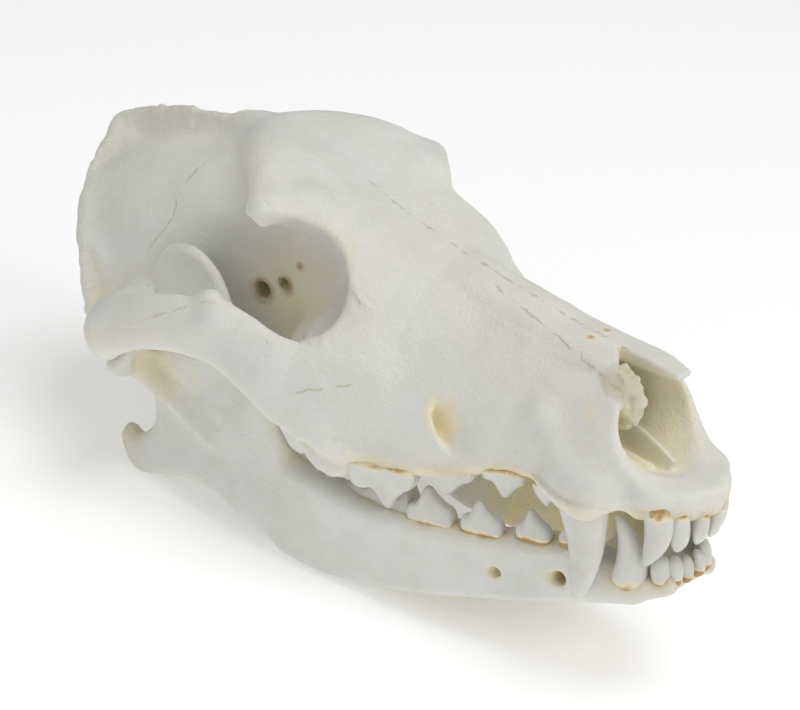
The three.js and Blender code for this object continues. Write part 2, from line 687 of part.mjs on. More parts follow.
function solidFrom({ vertices, faces }) {
  const used = new Map();
  const flat = [];
  const triVerts = new Uint32Array(faces.length * 3);
  faces.flat().forEach((v, i) => {
    if (!used.has(v)) {
      used.set(v, used.size);
      flat.push(...vertices[v]);
    }
    triVerts[i] = used.get(v);
  });
  const mesh = new wasm.Mesh({ numProp: 3, vertProperties: new Float32Array(flat), triVerts });
  return largest(new wasm.Manifold(mesh));
}

function solidFromGeometry(geometry) {
  const points = geometry.getAttribute('position');
  const ids = new Map();
  const vertices = [];
  const corner = (index) => {
    const place = new THREE.Vector3().fromBufferAttribute(points, index).toArray();
    const key = place.map((v) => v.toFixed(3)).join();
    if (!ids.has(key)) ids.set(key, vertices.push(place) - 1);
    return ids.get(key);
  };
  const order = Array.from(geometry.index.array, corner);
  const faces = Array.from({ length: order.length / 3 }, (_, i) => order.slice(3 * i, 3 * i + 3));
  return solidFrom({ vertices, faces });
}

// The biggest closed body alone, without scraps or sealed hollows
function largest(solid) {
  return solid.decompose().reduce((a, b) => (a.volume() >= b.volume() ? a : b));
}

// A large block whose one face lies at a point and looks along minus x, then turned about y and z
const BLOCK = 600;
function blockBeyond(at, turnY, turnZ) {
  const geometry = new THREE.BoxGeometry(BLOCK, BLOCK, BLOCK);
  geometry.translate(BLOCK / 2, 0, 0);
  geometry.rotateY(turnY);
  geometry.rotateZ(turnZ);
  geometry.translate(...at);
  return solidFromGeometry(geometry);
}

function meshFrom(solid) {
  const { numProp, vertProperties, triVerts } = solid.getMesh();
  const geometry = new THREE.BufferGeometry();
  if (numProp !== 3) throw new Error('a bone has more than places at its corners');
  geometry.setAttribute('position', new THREE.BufferAttribute(Float32Array.from(vertProperties), 3));
  geometry.setIndex(Array.from(triVerts));
  geometry.computeVertexNormals();
  return geometry;
}

// The cranium: braincase, forehead, snout and what is cut from them and grows on them

function addBodies(field) {
  field.join(loft(CORE, 6));
  field.join(loft(FOREHEAD, 5), 3);
  field.join(rib(POSTORBITAL, { steps: 5 }), 8, BOTH_SIDES);
  field.join(loft(SNOUT, 4), 6);
  field.join(rod([209, 18.5, 3], [192, 18, 24], 6, 4), 5, BOTH_SIDES); // root of the canine
  field.join(ellipsoid([206.5, 19.4, 9.5], [11, 6.8, 6.5]), 5, BOTH_SIDES); // bone around the canine
  field.join(ellipsoid([225.5, 12.3, 9.5], [6.5, 6, 6]), 3, BOTH_SIDES); // bone around the incisors
  field.join(ellipsoid([231, 7.6, 8.5], [5, 5, 5]), 3, BOTH_SIDES);
}

function cutHollows(field) {
  field.cut(ellipsoid([108, 0, 83], [36, 11, 10], [0, 24, 0]), 9); // dip between the brows
  field.cut(ellipsoid([109.5, 45, 48.5], [23, 27.5, 19], [0, 6, 8]), 2.5, BOTH_SIDES); // eye socket
  field.cut(ellipsoid([97, 48, 27], [17.5, 28.5, 24]), 5, BOTH_SIDES); // fossa below it
  field.join(ellipsoid([114, 22, 20], [14, 9.5, 12], [0, 20, 0]), 8, BOTH_SIDES); // floor of the eye socket
  field.join(rib(MOLAR_EDGE, { steps: 6 }), 5, BOTH_SIDES);
  field.cut(ellipsoid([203, 0, 26], [42, 11.5, 12.5], [0, 4, 0]), 3); // nose passage
  field.cut(ellipsoid([221, 0, 25], [19, 15.5, 14]), 3); // and its flare
  field.cut(noseOpening(), 2);
  field.cut(ellipsoid([165, 0, -4], [62, 24, 9]), 3); // vault of the palate
  field.cut(ellipsoid([86, 0, 3], [32, 10.5, 13]), 3); // inner nostrils
  field.cut(ellipsoid([216.5, 16.5, -0.5], [5.5, 6, 4.5]), 3, BOTH_SIDES); // room for the lower canine
}

// Open space in front of a leaning rim and above the floor of the nose
function noseOpening() {
  const rim = (z) => 216.5 - 0.1 * (z - 27);
  const floor = (x) => 12.5 - 0.1 * (x - 226);
  return {
    low: [205, -26, 6],
    high: [246, 26, 60],
    dist: (x, y, z) => smoothMax(rim(z) - x, floor(x) - z, 16),
  };
}

function addRidges(field) {
  field.join(rib(SAGITTAL_CREST, { section: band }), 8);
  field.join(rib(NUCHAL_CREST, { center: CREST_CENTER, section: band }), 8, BOTH_SIDES);
  field.join(rib(CHEEK_ARCH, { up: ARCH_UP, steps: 26 }), 5, BOTH_SIDES);
  field.join(rod([99.5, 53.4, 40], [97.5, 53, 44.2], 4, 2.6), 5, BOTH_SIDES); // arch's eye corner
  field.join(rod([104, 33, 66.5], [102.5, 36, 64.6], 3, 1.8), 4, BOTH_SIDES); // brow's drooping corner
}

function addBase(field) {
  field.join(rod([45, 41, 14], [43.5, 39, 6.5], 4.5, 3), 4, BOTH_SIDES); // behind the jaw joint
  const socket = JAW_JOINT.radii.map((radius) => radius + JAW_JOINT.play);
  field.cut(ellipsoid(JAW_JOINT.at, socket, JAW_JOINT.turn), 1.5, BOTH_SIDES);
  field.join(ellipsoid([35, 19, 6.5], [15, 11, 11.5], [0, 0, -12]), 3, BOTH_SIDES); // ear bulla
  field.join(ellipsoid([10.5, 11, 17.5], [7, 7.5, 9.5], [0, 0, 20]), 3, BOTH_SIDES); // condyles
  field.join(rod([18, 25, 15], [15.5, 24.5, -1], 5, 2.2), 5, BOTH_SIDES); // beside the condyles
  field.join(rib(PTERYGOID, { steps: 10 }), 3, BOTH_SIDES);
  field.cut(rod([-6, 0, 21], [26, 0, 24], 9.5, 8), 2); // opening of the spinal cord
  field.cut(rod([36, 40, 15], [38, 24, 14], 4.2, 4.2), 1.5, BOTH_SIDES); // ear opening
  field.cut(rib(INFRAORBITAL, { steps: 6 }), 2, BOTH_SIDES);
}

function addNasals(field) {
  const { from, slant, side, low } = BROKEN_NASAL;
  const beyond = (x, y) => (from - slant * y - x) / Math.hypot(1, slant);
  const gap = (x, y, z) => Math.max(beyond(x, y), y, -side - y, low - z);
  field.join(loft(NASALS, 1.5), 2);
  field.cut({ low: [from, -side, low], high: [232, 0, 50], dist: gap }, 1);
  field.join(ellipsoid([211.5, -8.8, 32.5], [7.5, 4.2, 9], [0, 12, 0]), 1); // spongy bone behind the right rim
}

function craniumSolid() {
  const field = new Field([-8, -68, -14], [246, 68, 90], BONE_STEP);
  addBodies(field);
  cutHollows(field);
  addRidges(field);
  addBase(field);
  addNasals(field);
  return solidFrom(thinned(skinOf(field), CRANIUM_FACES));
}

// One half of the lower jaw, on the left
function mandibleSolid() {
  const field = new Field([30, -4, -50], [246, 64, 60], BONE_STEP);
  const middle = (x, z) => 36.5 + 0.03 * (z + 10) - 0.1 * Math.max(x - 95, 0);
  const half = (x, z) => 2.6 + 1.6 * Math.exp(-(((z + 26) / 10) ** 2));
  const inward = { low: [30, -4, -60], high: [246, PIECE_GAP / 2, 60], dist: (x, y) => y - PIECE_GAP / 2 };
  field.join(plate(JAW_BRANCH, middle, half, 5, [26, 46]));
  field.join(rib(JAW_BODY, { up: JAW_BODY_UP, steps: 22, section: slab }), 6);
  field.join(ellipsoid(JAW_JOINT.at, JAW_JOINT.radii, JAW_JOINT.turn), 4);
  field.join(rod([218.5, 11.5, -21], [203, 14, -23.6], 4.6, 4.5), 4); // root of the canine
  field.join(rod([200, 6, -24], [227, 2.5, -18.2], 4.5, 2.6), 5); // where the halves meet
  field.cut(ellipsoid([84, 48, 9], [23, 11.6, 16], [0, -30, 0]), 1.5); // hollow for the chewing muscle
  field.cut(ellipsoid([77, 44.5, 36], [10, 6.5, 13]), 2);
  field.cut(rod([58, 43, 10], [83, 41.6, -3], 4.2, 3.6), 1.5);
  field.join(rod([54, 41, 6], [80, 39, -9], 2.6, 1.6), 2); // ridge below it
  field.cut(inward);
  return solidFrom(thinned(skinOf(field), MANDIBLE_FACES));
}

// Teeth, made lying in their own axes: along the row, outward, and from the gum to the tip

function blade(outline) {
  return (field, length, width, height) => {
    const crown = outline.map(([along, up]) => [along * length, up * height]);
    const root = [[0.34 * length, -ROOT_DEPTH], [0, -0.6 * ROOT_DEPTH], [-0.34 * length, -ROOT_DEPTH]];
    const half = (x, z) => {
      return width / 2 * (1 - 0.55 * clamp(z / height, 0, 1) - 0.6 * clamp(-z / ROOT_TAPER, 0, 1));
    };
    field.join(plate([...crown, ...root], () => 0, half, 2, [-width / 2, width / 2]));
  };
}

function molar(field, length, width, height) {
  const [along, out, up] = [0.26 * length, 0.3 * width, 0.2 * height];
  field.join(ellipsoid([0, 0, -2], [0.48 * length, 0.5 * width, 2 + 0.45 * height]));
  field.join(rod([-along, out, up], [along, out, up], 0.2 * width, 0.2 * width), 1.5);
  for (const [shareX, shareY, shareZ] of MOLAR_CUSPS) {
    const [x, y] = [shareX * length, shareY * width];
    field.join(rod([x, y, -3], [x, y, shareZ * height - 1.1], 2.6, 1.1), 1.5);
  }
}

function curved(rows) {
  return (field, length, width, height) => {
    const path = rows.map(([along, out, up, halfWidth, halfLength]) => [
      along * length,
      out * length,
      up * height,
      halfWidth * width,
      halfLength * length,
    ]);
    field.join(rib(path, { up: [0, 1, 0], steps: 16 }));
  };
}

function toothSolid([at, heading, length, width, height, crown, faces], upper, side) {
  const room = 8; // clear of the crown on every side
  const low = [-length / 2 - room, -width / 2 - room, -ROOT_DEPTH - room];
  const high = [length / 2 + room, width / 2 + room, height + room];
  const field = new Field(low, high, TOOTH_STEP);
  crown(field, length, width, height);
  const up = upper ? -1 : 1;
  const turn = radians(heading);
  const mesh = thinned(skinOf(field), faces);
  const vertices = mesh.vertices.map(([along, out, rise]) => [
    at[0] + along * Math.cos(turn) + out * Math.sin(turn),
    side * (at[1] - along * Math.sin(turn) + out * Math.cos(turn)),
    at[2] + up * rise,
  ]);
  const mirrored = up * side < 0;
  return solidFrom({ vertices, faces: mirrored ? mesh.faces.map(([a, b, c]) => [a, c, b]) : mesh.faces });
}

function withTeeth(bone, rows, upper, sides) {
  let solid = bone;
  for (const side of sides) {
    for (const row of rows) solid = solid.add(toothSolid(row, upper, side));
  }
  return largest(solid);
}

// Parting the cranium: face and braincase between the two cheek arches
function skullSolids() {
  const cranium = craniumSolid();
  const lean = radians(FACE_CUT.lean);
  const half = PIECE_GAP / 2;
  const quarter = Math.PI / 2;
  const leftOf = (y) => blockBeyond([0, y, 0], 0, quarter);
  const rightOf = (y) => blockBeyond([0, y, 0], 0, -quarter);
  const core = cranium.subtract(leftOf(ARCH_CUT - half)).subtract(rightOf(half - ARCH_CUT));
  const mandible = mandibleSolid();
  return {
    braincase: largest(core.subtract(blockBeyond([FACE_CUT.x - half, 0, 0], lean, 0))),
    face: withTeeth(
      largest(core.intersect(blockBeyond([FACE_CUT.x + half, 0, 0], lean, 0))),
      UPPER_TEETH,
      true,
      BOTH_SIDES,
    ),
    cheek_arch_left: largest(cranium.intersect(leftOf(ARCH_CUT + half))),
    cheek_arch_right: largest(cranium.intersect(rightOf(-ARCH_CUT - half))),
    mandible_left: withTeeth(mandible, LOWER_TEETH, false, [1]),
    mandible_right: withTeeth(mandible.mirror([0, 1, 0]), LOWER_TEETH, false, [-1]),
  };
}

// At rest: tipped until belly and angles of the jaw touch the table, then set over the middle
function restingSkull() {
  const solids = Object.entries(skullSolids()).map(([name, solid]) => {
    return { name, solid: solid.rotate([0, -REST_PITCH, 0]) };
  });
  const box = new THREE.Box3();
  solids.forEach(({ solid }) => {
    const { min, max } = solid.boundingBox();
    box.union(new THREE.Box3(new THREE.Vector3(...min), new THREE.Vector3(...max)));
  });
  const floor = box.min.z + FLAT_DEPTH;
  const below = blockBeyond([0, 0, floor], Math.PI / 2, 0);
  const middle = box.getCenter(new THREE.Vector3());
  const skull = new THREE.Group();
  skull.name = 'dog_skull';
  solids.forEach(({ name, solid }) => {
    const geometry = meshFrom(largest(solid.subtract(below)));
    const material = new THREE.MeshStandardMaterial({
      color: BONE_COLOR,
      roughness: BONE_ROUGHNESS,
      metalness: 0,
    });
    const mesh = new THREE.Mesh(geometry, material);
    mesh.name = name;
    mesh.position.set(-middle.x, -middle.y, -floor);
    skull.add(mesh);
  });
  return skull;
}

export default restingSkull();
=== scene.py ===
"""A dog's skull, life size, in dried bare bone: its fine bones, teeth, stains, light and camera.

The bones are blends of rounded shapes, as the solids are, on a finer grid and with the small holes,
ridges and roughness of the photograph. Lengths are millimetres until a piece is made, and metres from
there on. Axes while the bones are made: x from the back of the head to the front teeth, y to the
animal's left, z up from the palate.
"""
import math

import bmesh
import bpy
import numpy as np
from mathutils import Matrix, Vector


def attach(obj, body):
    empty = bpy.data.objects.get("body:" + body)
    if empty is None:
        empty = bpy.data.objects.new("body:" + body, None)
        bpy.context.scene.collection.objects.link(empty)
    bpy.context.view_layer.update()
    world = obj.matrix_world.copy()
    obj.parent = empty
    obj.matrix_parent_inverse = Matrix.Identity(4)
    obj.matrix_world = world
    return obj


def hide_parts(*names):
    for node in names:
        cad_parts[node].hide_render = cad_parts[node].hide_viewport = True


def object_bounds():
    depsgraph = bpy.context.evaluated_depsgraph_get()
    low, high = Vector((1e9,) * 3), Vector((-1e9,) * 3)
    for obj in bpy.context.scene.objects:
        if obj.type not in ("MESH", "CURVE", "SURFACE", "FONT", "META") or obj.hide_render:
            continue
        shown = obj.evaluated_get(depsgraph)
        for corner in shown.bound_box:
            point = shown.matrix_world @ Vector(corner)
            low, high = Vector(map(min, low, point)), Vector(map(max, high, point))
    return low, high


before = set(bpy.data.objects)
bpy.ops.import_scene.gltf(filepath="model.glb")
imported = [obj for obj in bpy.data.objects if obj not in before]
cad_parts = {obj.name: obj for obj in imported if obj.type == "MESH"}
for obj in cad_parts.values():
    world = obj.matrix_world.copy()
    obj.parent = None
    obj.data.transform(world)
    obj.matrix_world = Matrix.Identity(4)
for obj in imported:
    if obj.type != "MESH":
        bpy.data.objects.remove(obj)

cad_low, cad_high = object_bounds()

# Driving sizes, as in the solids
REST_PITCH = 8.8  # degrees that the nose tips up as the jaw lies on its belly and angles
FLAT_DEPTH = 0.5  # bone worn away where the jaw touches the table
ARCH_CUT = 42.0  # the cheek arches start this far from the midline
FACE_CUT_X = 112.0  # where face and braincase part
FACE_CUT_LEAN = 16.0  # lean of that cut in degrees
SEAM = 0.01  # half the gap between bones that are grown together
BONE_CELL = 0.75  # mesh cell in bone
TOOTH_CELL = 0.38  # mesh cell in a tooth
ROOT_DEPTH = 6.0  # length of a tooth's root in the bone
ROOT_TAPER = 4.0  # depth in which a root thins
ROOT_THINNING = 0.6  # share of the thickness that it loses there
ROOT_SPREAD = 0.34  # share of a tooth's length from its middle to each root's end
ROOT_FORK = 0.6  # share of the depth at which the roots part
CROWN_TAPER = 0.55  # share of the thickness that a crown loses at its tip
MM = 0.001

# Braincase and the narrow core between the eye sockets:
# x, top, widest level, bottom, half width, power of the upper curve, power of the lower curve
CORE = (
    (7, 55, 38, 20, 18, 2, 2),
    (14, 61, 36, 13, 27, 2, 2),
    (25, 65, 35, 10, 32, 2, 2.2),
    (38, 68, 35, 9, 33.5, 2, 2.2),
    (52, 71, 37, 10, 31.5, 2, 2.2),
    (66, 74, 42, 11, 27, 1.9, 2.4),
    (78, 76, 46, 11, 22, 2, 3),
    (88, 76, 44, 10, 19.5, 2.2, 4),
    (112, 68, 38, 8, 19.5, 2.4, 4.5),
    (140, 55, 30, 6, 18, 2, 3),
)

# Forehead, out to the temporal lines and the upper rims of the eye sockets, in the same order
FOREHEAD = (
    (58, 77, 72, 60, 3, 2, 2),
    (66, 80, 73, 58, 8, 2.2, 1.8),
    (75, 82.5, 73, 57, 16, 2.5, 1.6),
    (84, 83, 72, 55, 24, 2.8, 1.4),
    (92, 82, 69, 53, 31, 2.8, 1.35),
    (99, 79.5, 66, 52, 36.5, 2.5, 1.4),
    (104, 76.5, 65, 50, 36.5, 2.3, 1.5),
    (110, 72.5, 64.5, 48, 29, 2.6, 1.6),
    (116, 69, 62.5, 44, 26, 2.8, 1.7),
    (124, 64, 57, 38, 26, 2.6, 1.9),
    (132, 59, 50, 32, 28, 2.4, 2),
    (142, 56, 42, 28, 26, 2, 2),
)

# Upper jaw and snout, in the same order
SNOUT = (
    (114, 66, 16, 4, 34, 2.4, 3.5),
    (122, 63, 13, -2, 38.5, 2.5, 4),
    (130, 60.5, 10, -4, 40, 2.5, 4),
    (137, 58, 8, -2.2, 39.5, 2.3, 4),
    (144, 56, 6, -1, 38.6, 1.9, 5),
    (152, 54, 5, -0.5, 36.8, 1.65, 5),
    (160, 52, 4.5, 0, 34, 1.6, 5),
    (170, 49.6, 5.5, 2, 30.3, 1.7, 5),
    (180, 47.2, 8, 4.5, 26, 1.85, 4),
    (190, 44.6, 9, 5.5, 23.6, 2, 4),
    (200, 42.6, 8, 4, 22.6, 2.1, 4),
    (208, 41, 6, 2, 22.8, 2.1, 4),
    (216, 39.8, 5.5, 1.5, 21, 2.2, 4),
    (223, 38, 5.5, 1.5, 17.8, 2.3, 4),
    (230, 34, 6, 1.5, 12.8, 2.3, 4),
    (235, 29, 6.5, 2, 8, 2.3, 4),
    (239, 22, 8, 3, 3.5, 2.3, 3),
)

# The two nasal bones together, in the same order; the right one is broken off short
NASALS = (
    (138, 57.4, 51, 47, 9, 2.4, 2),
    (153, 54.4, 49, 45, 9, 2.4, 2),
    (170, 50, 45, 42, 9.2, 2.6, 2),
    (187, 46, 41.5, 38.5, 9.5, 2.8, 2),
    (204, 42.6, 40, 38.8, 10, 3, 2),
    (216, 40.8, 38.6, 37.6, 9.5, 3, 2),
    (224, 39.4, 38, 37.2, 6.5, 2.4, 2),
)
BROKEN_NASAL = ((203, -14, 34), (232, 0, 50))  # low and high corner of what is missing
BROKEN_NASAL_SLANT = 0.8

# Ribs and crests: x, y, z, half height, half thickness
SAGITTAL_CREST = (
    (6, 0, 63, 5.5, 1.8),
    (14, 0, 66, 6.5, 1.3),
    (30, 0, 69, 7, 1.2),
    (48, 0, 71.5, 6.5, 1.4),
    (64, 0, 73.5, 5.5, 2.2),
)
NUCHAL_CREST = (
    (7.5, 0, 61, 7, 1.8),
    (9.5, 9, 56.5, 7, 1.5),
    (14, 18, 50, 6.5, 1.5),
    (20, 25.5, 43.5, 6.3, 1.5),
    (25.5, 31, 37, 6.3, 1.6),
    (28.5, 34.5, 29, 6, 1.9),
    (31, 36, 20, 5.5, 2.6),
)
CREST_CENTER = (45, 0, 38)  # the nuchal crest fans out from here
CHEEK_ARCH = (
    (142, 31, 22, 17, 5),
    (133, 38, 20.5, 17, 5.5),
    (124, 44, 21.6, 13.8, 5.2),
    (114, 49, 27.4, 10.4, 4.4),
    (103, 53, 34.2, 9.5, 3.6),
    (90, 57, 35.5, 8.6, 3.2),
    (76, 59, 33.5, 8.3, 3.4),
    (63, 57.5, 29, 9, 4.4),
    (52, 52.5, 23, 9.5, 6.5),
    (46.5, 45, 20, 9, 8),
    (46, 36, 21, 9, 9),
)
ARCH_UP = (0, -0.15, 1)
POSTORBITAL = (
    (110, 24, 67, 4, 5),
    (106, 30, 66.5, 3.8, 4.2),
    (103, 35.5, 65.8, 2.6, 2.2),
)
PTERYGOID = (
    (122, 15, 10, 8, 2.5),
    (104, 13.5, 6, 9, 2.2),
    (88, 12.5, 3, 9, 2),
    (77, 12, -3, 4, 1.6),
)
MOLAR_EDGE = (
    (117, 36, 5, 2.5, 2),
    (124, 38, -0.5, 2.6, 2.2),
    (130, 38.6, -2.6, 2.6, 2.2),
    (135.5, 38.2, -2.2, 2, 1.8),
)
INFRAORBITAL = (
    (161.5, 28, 18.8, 4.2, 1.3),
    (167, 29.3, 17.5, 6, 2),
    (177, 33, 15, 8, 2.8),
)
NOSE_RIDGE = (
    (198, 0.5, 17, 6, 0.9),
    (211, 0.8, 16, 4.5, 0.9),
    (222, 1, 12.5, 2, 0.9),
)
NOSE_SHELF = (
    (202, -7, 14, 4, 0.9),
    (212, -6, 13, 3, 0.9),
    (219, -4, 12, 1.5, 0.9),
)
JAW_BODY = (
    (112, 34.3, -22, 15, 4.6),
    (126, 32, -25, 15.5, 5.6),
    (140, 29.5, -26.2, 14, 6),
    (155, 27, -25.8, 12.7, 6),
    (170, 23.6, -24.3, 11.3, 5.6),
    (185, 19.6, -22.6, 10.5, 5.4),
    (200, 14.6, -20.2, 9.7, 5.2),
    (212, 10.8, -19.9, 6.5, 5.4),
    (222, 8.4, -19.5, 3.3, 6),
    (228.5, 6, -17.9, 2.5, 5.2),
)
JAW_BODY_UP = (0, 0.12, 1)

# Outline of the upright branch of the lower jaw, x and z: front edge, coronoid process, joint notch,
# angular process and lower border
JAW_BRANCH = (
    (114, -10), (105.5, 4), (99, 18), (93.5, 30), (88.5, 41), (83.5, 47.5), (75, 51.5), (65, 49.5),
    (59, 42), (57.5, 33), (60, 22), (58, 15), (50, 13), (47, 6), (53, 1), (55, -5), (53.5, -12),
    (47, -17), (42, -15), (39.5, -19), (42, -26), (48, -30), (60, -27.5), (73, -25.5), (83, -27.5),
    (92, -31.5), (108, -36.5), (118, -38), (126, -36),
)
BRANCH_OUT = 36.5  # the branch's distance from the midline at the next level
BRANCH_LEVEL = -10.0
BRANCH_LEAN = 0.03
BRANCH_TURN = 0.1  # how it nears the midline in front of the next place
BRANCH_TURN_FROM = 95.0
BRANCH_HALF = 2.6  # half its thickness
BRANCH_SWELL = 1.6  # and what is added near its lower border
SWELL_LEVEL = -26.0
SWELL_REACH = 10.0
BRANCH_REACH = (26, 46)

# Round lumps and hollows of the head: middle, radii, turn in degrees
CANINE_BONE = ((206.5, 19.4, 9.5), (11, 6.8, 6.5))
INCISOR_BONES = (
    ((225.5, 12.3, 9.5), (6.5, 6, 6)),
    ((231, 7.6, 8.5), (5, 5, 5)),
)
BROW_DIP = ((108, 0, 83), (36, 11, 10), (0, 24, 0))
EYE_SOCKET = ((109.5, 45, 48.5), (23, 27.5, 19), (0, 6, 8))
EYE_SOCKET_FLOOR = ((114, 22, 20), (14, 9.5, 12), (0, 20, 0))
HOLLOW_BELOW_EYE = ((97, 48, 27), (17.5, 28.5, 24))
NOSE_PASSAGE = ((203, 0, 26), (42, 11.5, 12.5), (0, 4, 0))
NOSE_FLARE = ((221, 0, 25), (19, 15.5, 14))
NOSE_SPONGE = ((211.5, -8.8, 32.5), (7.5, 4.2, 9), (0, 12, 0))  # spongy bone behind the right rim
PALATE_VAULT = ((165, 0, -4), (62, 24, 9))
INNER_NOSTRILS = ((86, 0, 3), (32, 10.5, 13))
LOWER_CANINE_ROOM = ((216.5, 16.5, -0.5), (5.5, 6, 4.5))
EAR_BULLA = ((35, 19, 6.5), (15, 11, 11.5), (0, 0, -12))
NECK_CONDYLE = ((10.5, 11, 17.5), (7, 7.5, 9.5), (0, 0, 20))

# Rods and bores of the head: start, end, radius at each
CANINE_ROOT = ((209, 18.5, 3), (192, 18, 24), 6, 4)
ARCH_EYE_CORNER = ((99.5, 53.4, 40), (97.5, 53, 44.2), 4, 2.6)
BROW_CORNER = ((104, 33, 66.5), (102.5, 36, 64.6), 3, 1.8)
BEHIND_JAW_JOINT = ((45, 41, 14), (43.5, 39, 6.5), 4.5, 3)
BESIDE_CONDYLE = ((18, 25, 15), (15.5, 24.5, -1), 5, 2.2)
SPINAL_CORD_HOLE = ((-6, 0, 21), (26, 0, 24), 9.5, 8)
EAR_HOLE = ((36, 40, 15), (38, 24, 14), 4.2, 4.2)
EYE_NERVE_HOLES = (
    ((85.5, 22, 34.8), (82, 13, 34), 2.6, 2),
    ((94, 22, 38.2), (91, 14, 38), 1.9, 1.6),
)

# The nose opening's leaning rim and floor
NOSE_RIM = 216.5  # its x at the next level
NOSE_RIM_LEVEL = 27.0
NOSE_FLOOR = 12.5  # its level at the next x
NOSE_FLOOR_X = 226.0
NOSE_LEAN = 0.1
NOSE_OPENING_ROUNDING = 16.0
NOSE_OPENING_BOX = ((205, -26, 6), (246, 26, 60))

# Lumps, hollows, rods and bores of the lower jaw, in the same orders
JAW_JOINT = ((50.5, 42, 10.5), (5, 11.5, 5), (0, 0, -12))
JAW_JOINT_PLAY = 1.9
CHEWING_HOLLOW = ((84, 48, 9), (23, 11.6, 16), (0, -30, 0))
UPPER_CHEWING_HOLLOW = ((77, 44.5, 36), (10, 6.5, 13))
LOWER_CHEWING_HOLLOW = ((58, 43, 10), (83, 41.6, -3), 4.2, 3.6)
CHEWING_RIDGE = ((54, 41, 6), (80, 39, -9), 2.6, 1.6)
LOWER_CANINE_ROOT = ((218.5, 11.5, -21), (203, 14, -23.6), 4.6, 4.5)
CHIN_JOIN = ((200, 6, -24), (227, 2.5, -18.2), 4.5, 2.6)
CHIN_HOLES = (
    ((198, 26, -22), (202, 10, -22), 2.4, 2),
    ((180, 30, -24), (184, 17, -24), 1.6, 1.4),
)

# Grids: low and high corner
HEAD_BOX = ((-8, -68, -14), (246, 68, 90))
JAW_BOX = ((30, -4, -50), (246, 64, 60))
TOOTH_ROOM = 8.0  # room around a tooth

# Crown outlines, as shares of a tooth's length (rear to front) and of its height
PREMOLAR = (
    (-0.5, 0.0), (-0.5, 0.3), (-0.42, 0.42), (-0.3, 0.42), (-0.2, 0.6), (-0.1, 0.92), (-0.02, 1),
    (0.06, 0.98), (0.15, 0.8), (0.3, 0.5), (0.44, 0.36), (0.5, 0.0),
)
LOWER_PREMOLAR = (
    (-0.5, 0.0), (-0.5, 0.3), (-0.42, 0.42), (-0.32, 0.46), (-0.24, 0.7), (-0.16, 0.95), (-0.08, 1),
    (0.0, 0.93), (0.12, 0.72), (0.28, 0.54), (0.44, 0.4), (0.5, 0.0),
)
PEG = ((-0.5, 0.05), (-0.4, 0.5), (-0.05, 1), (0.1, 1), (0.42, 0.4), (0.5, 0.05))
UPPER_CARNASSIAL = (
    (-0.5, 0.0), (-0.5, 0.4), (-0.42, 0.6), (-0.28, 0.62), (-0.17, 0.56), (-0.1, 0.66), (-0.02, 0.9),
    (0.05, 1), (0.11, 0.97), (0.2, 0.72), (0.34, 0.5), (0.46, 0.36), (0.5, 0.0),
)
LOWER_CARNASSIAL = (
    (-0.5, 0.02), (-0.48, 0.34), (-0.3, 0.42), (-0.16, 0.4), (-0.1, 0.72), (0.02, 1), (0.09, 0.97),
    (0.17, 0.6), (0.22, 0.58), (0.33, 0.8), (0.41, 0.76), (0.48, 0.3), (0.5, 0.02),
)

# Molar body, outer wall and cusps, as shares of length, width and height
MOLAR_BODY = (0.48, 0.5, 0.45)
MOLAR_WALL = (0.26, 0.3, 0.2)
MOLAR_CUSPS = ((0.22, 0.3, 1), (-0.22, 0.3, 0.85), (0.2, -0.25, 0.55), (-0.2, -0.25, 0.45))
MOLAR_DEPTH = 2.0  # the body's middle lies this far in the bone
WALL_RADIUS = 0.2  # as a share of the width
CUSP_DEPTH = 3.0
CUSP_BASE = 2.6  # radius of a cusp in the bone
CUSP_TIP = 1.1  # and at its tip

# Curved crowns as swept rows: shift along the row and outward in shares of the length, height as a share
# of the crown's (below 0 in the root), half width and half length as shares
INCISOR = (
    (0, -0.3, -0.4, 0.26, 0.28), (0, -0.04, -0.2, 0.4, 0.36), (0, 0.03, 0.35, 0.4, 0.48),
    (0, -0.05, 0.72, 0.27, 0.46), (0, -0.16, 0.92, 0.13, 0.3),
)
CORNER_INCISOR = (
    (-0.05, -0.3, -0.4, 0.26, 0.26), (0.05, -0.02, -0.14, 0.46, 0.44), (0.12, 0.02, 0.25, 0.48, 0.45),
    (0.02, 0.03, 0.6, 0.38, 0.36), (-0.22, 0.03, 0.92, 0.17, 0.15),
)
UPPER_CANINE = (
    (-0.25, -0.15, -0.25, 0.3, 0.3), (-0.02, 0, -0.04, 0.52, 0.52), (0.12, 0.07, 0.3, 0.46, 0.42),
    (0.14, 0.13, 0.6, 0.37, 0.31), (0.05, 0.14, 0.85, 0.25, 0.2), (-0.02, 0.14, 0.95, 0.16, 0.12),
)
LOWER_CANINE = (
    (-0.2, -0.14, -0.16, 0.28, 0.26), (0, 0, -0.04, 0.5, 0.45), (0.13, 0.13, 0.3, 0.45, 0.4),
    (0.07, 0.22, 0.6, 0.34, 0.29), (-0.1, 0.26, 0.85, 0.2, 0.16), (-0.25, 0.24, 0.96, 0.1, 0.08),
)

# Camera of the photograph, in the skull's own axes: place, azimuth and elevation in degrees, and focal
# length in pixels of the 800 wide picture
EYE = (610.6, -534.9, 309.2)
EYE_AZIMUTH = 42.4
EYE_ELEVATION = 21.9
FOCAL_PIXELS = 2641.0
PHOTO_WIDTH = 800.0
SENSOR = 36.0
FAR_CLIP = 20.0

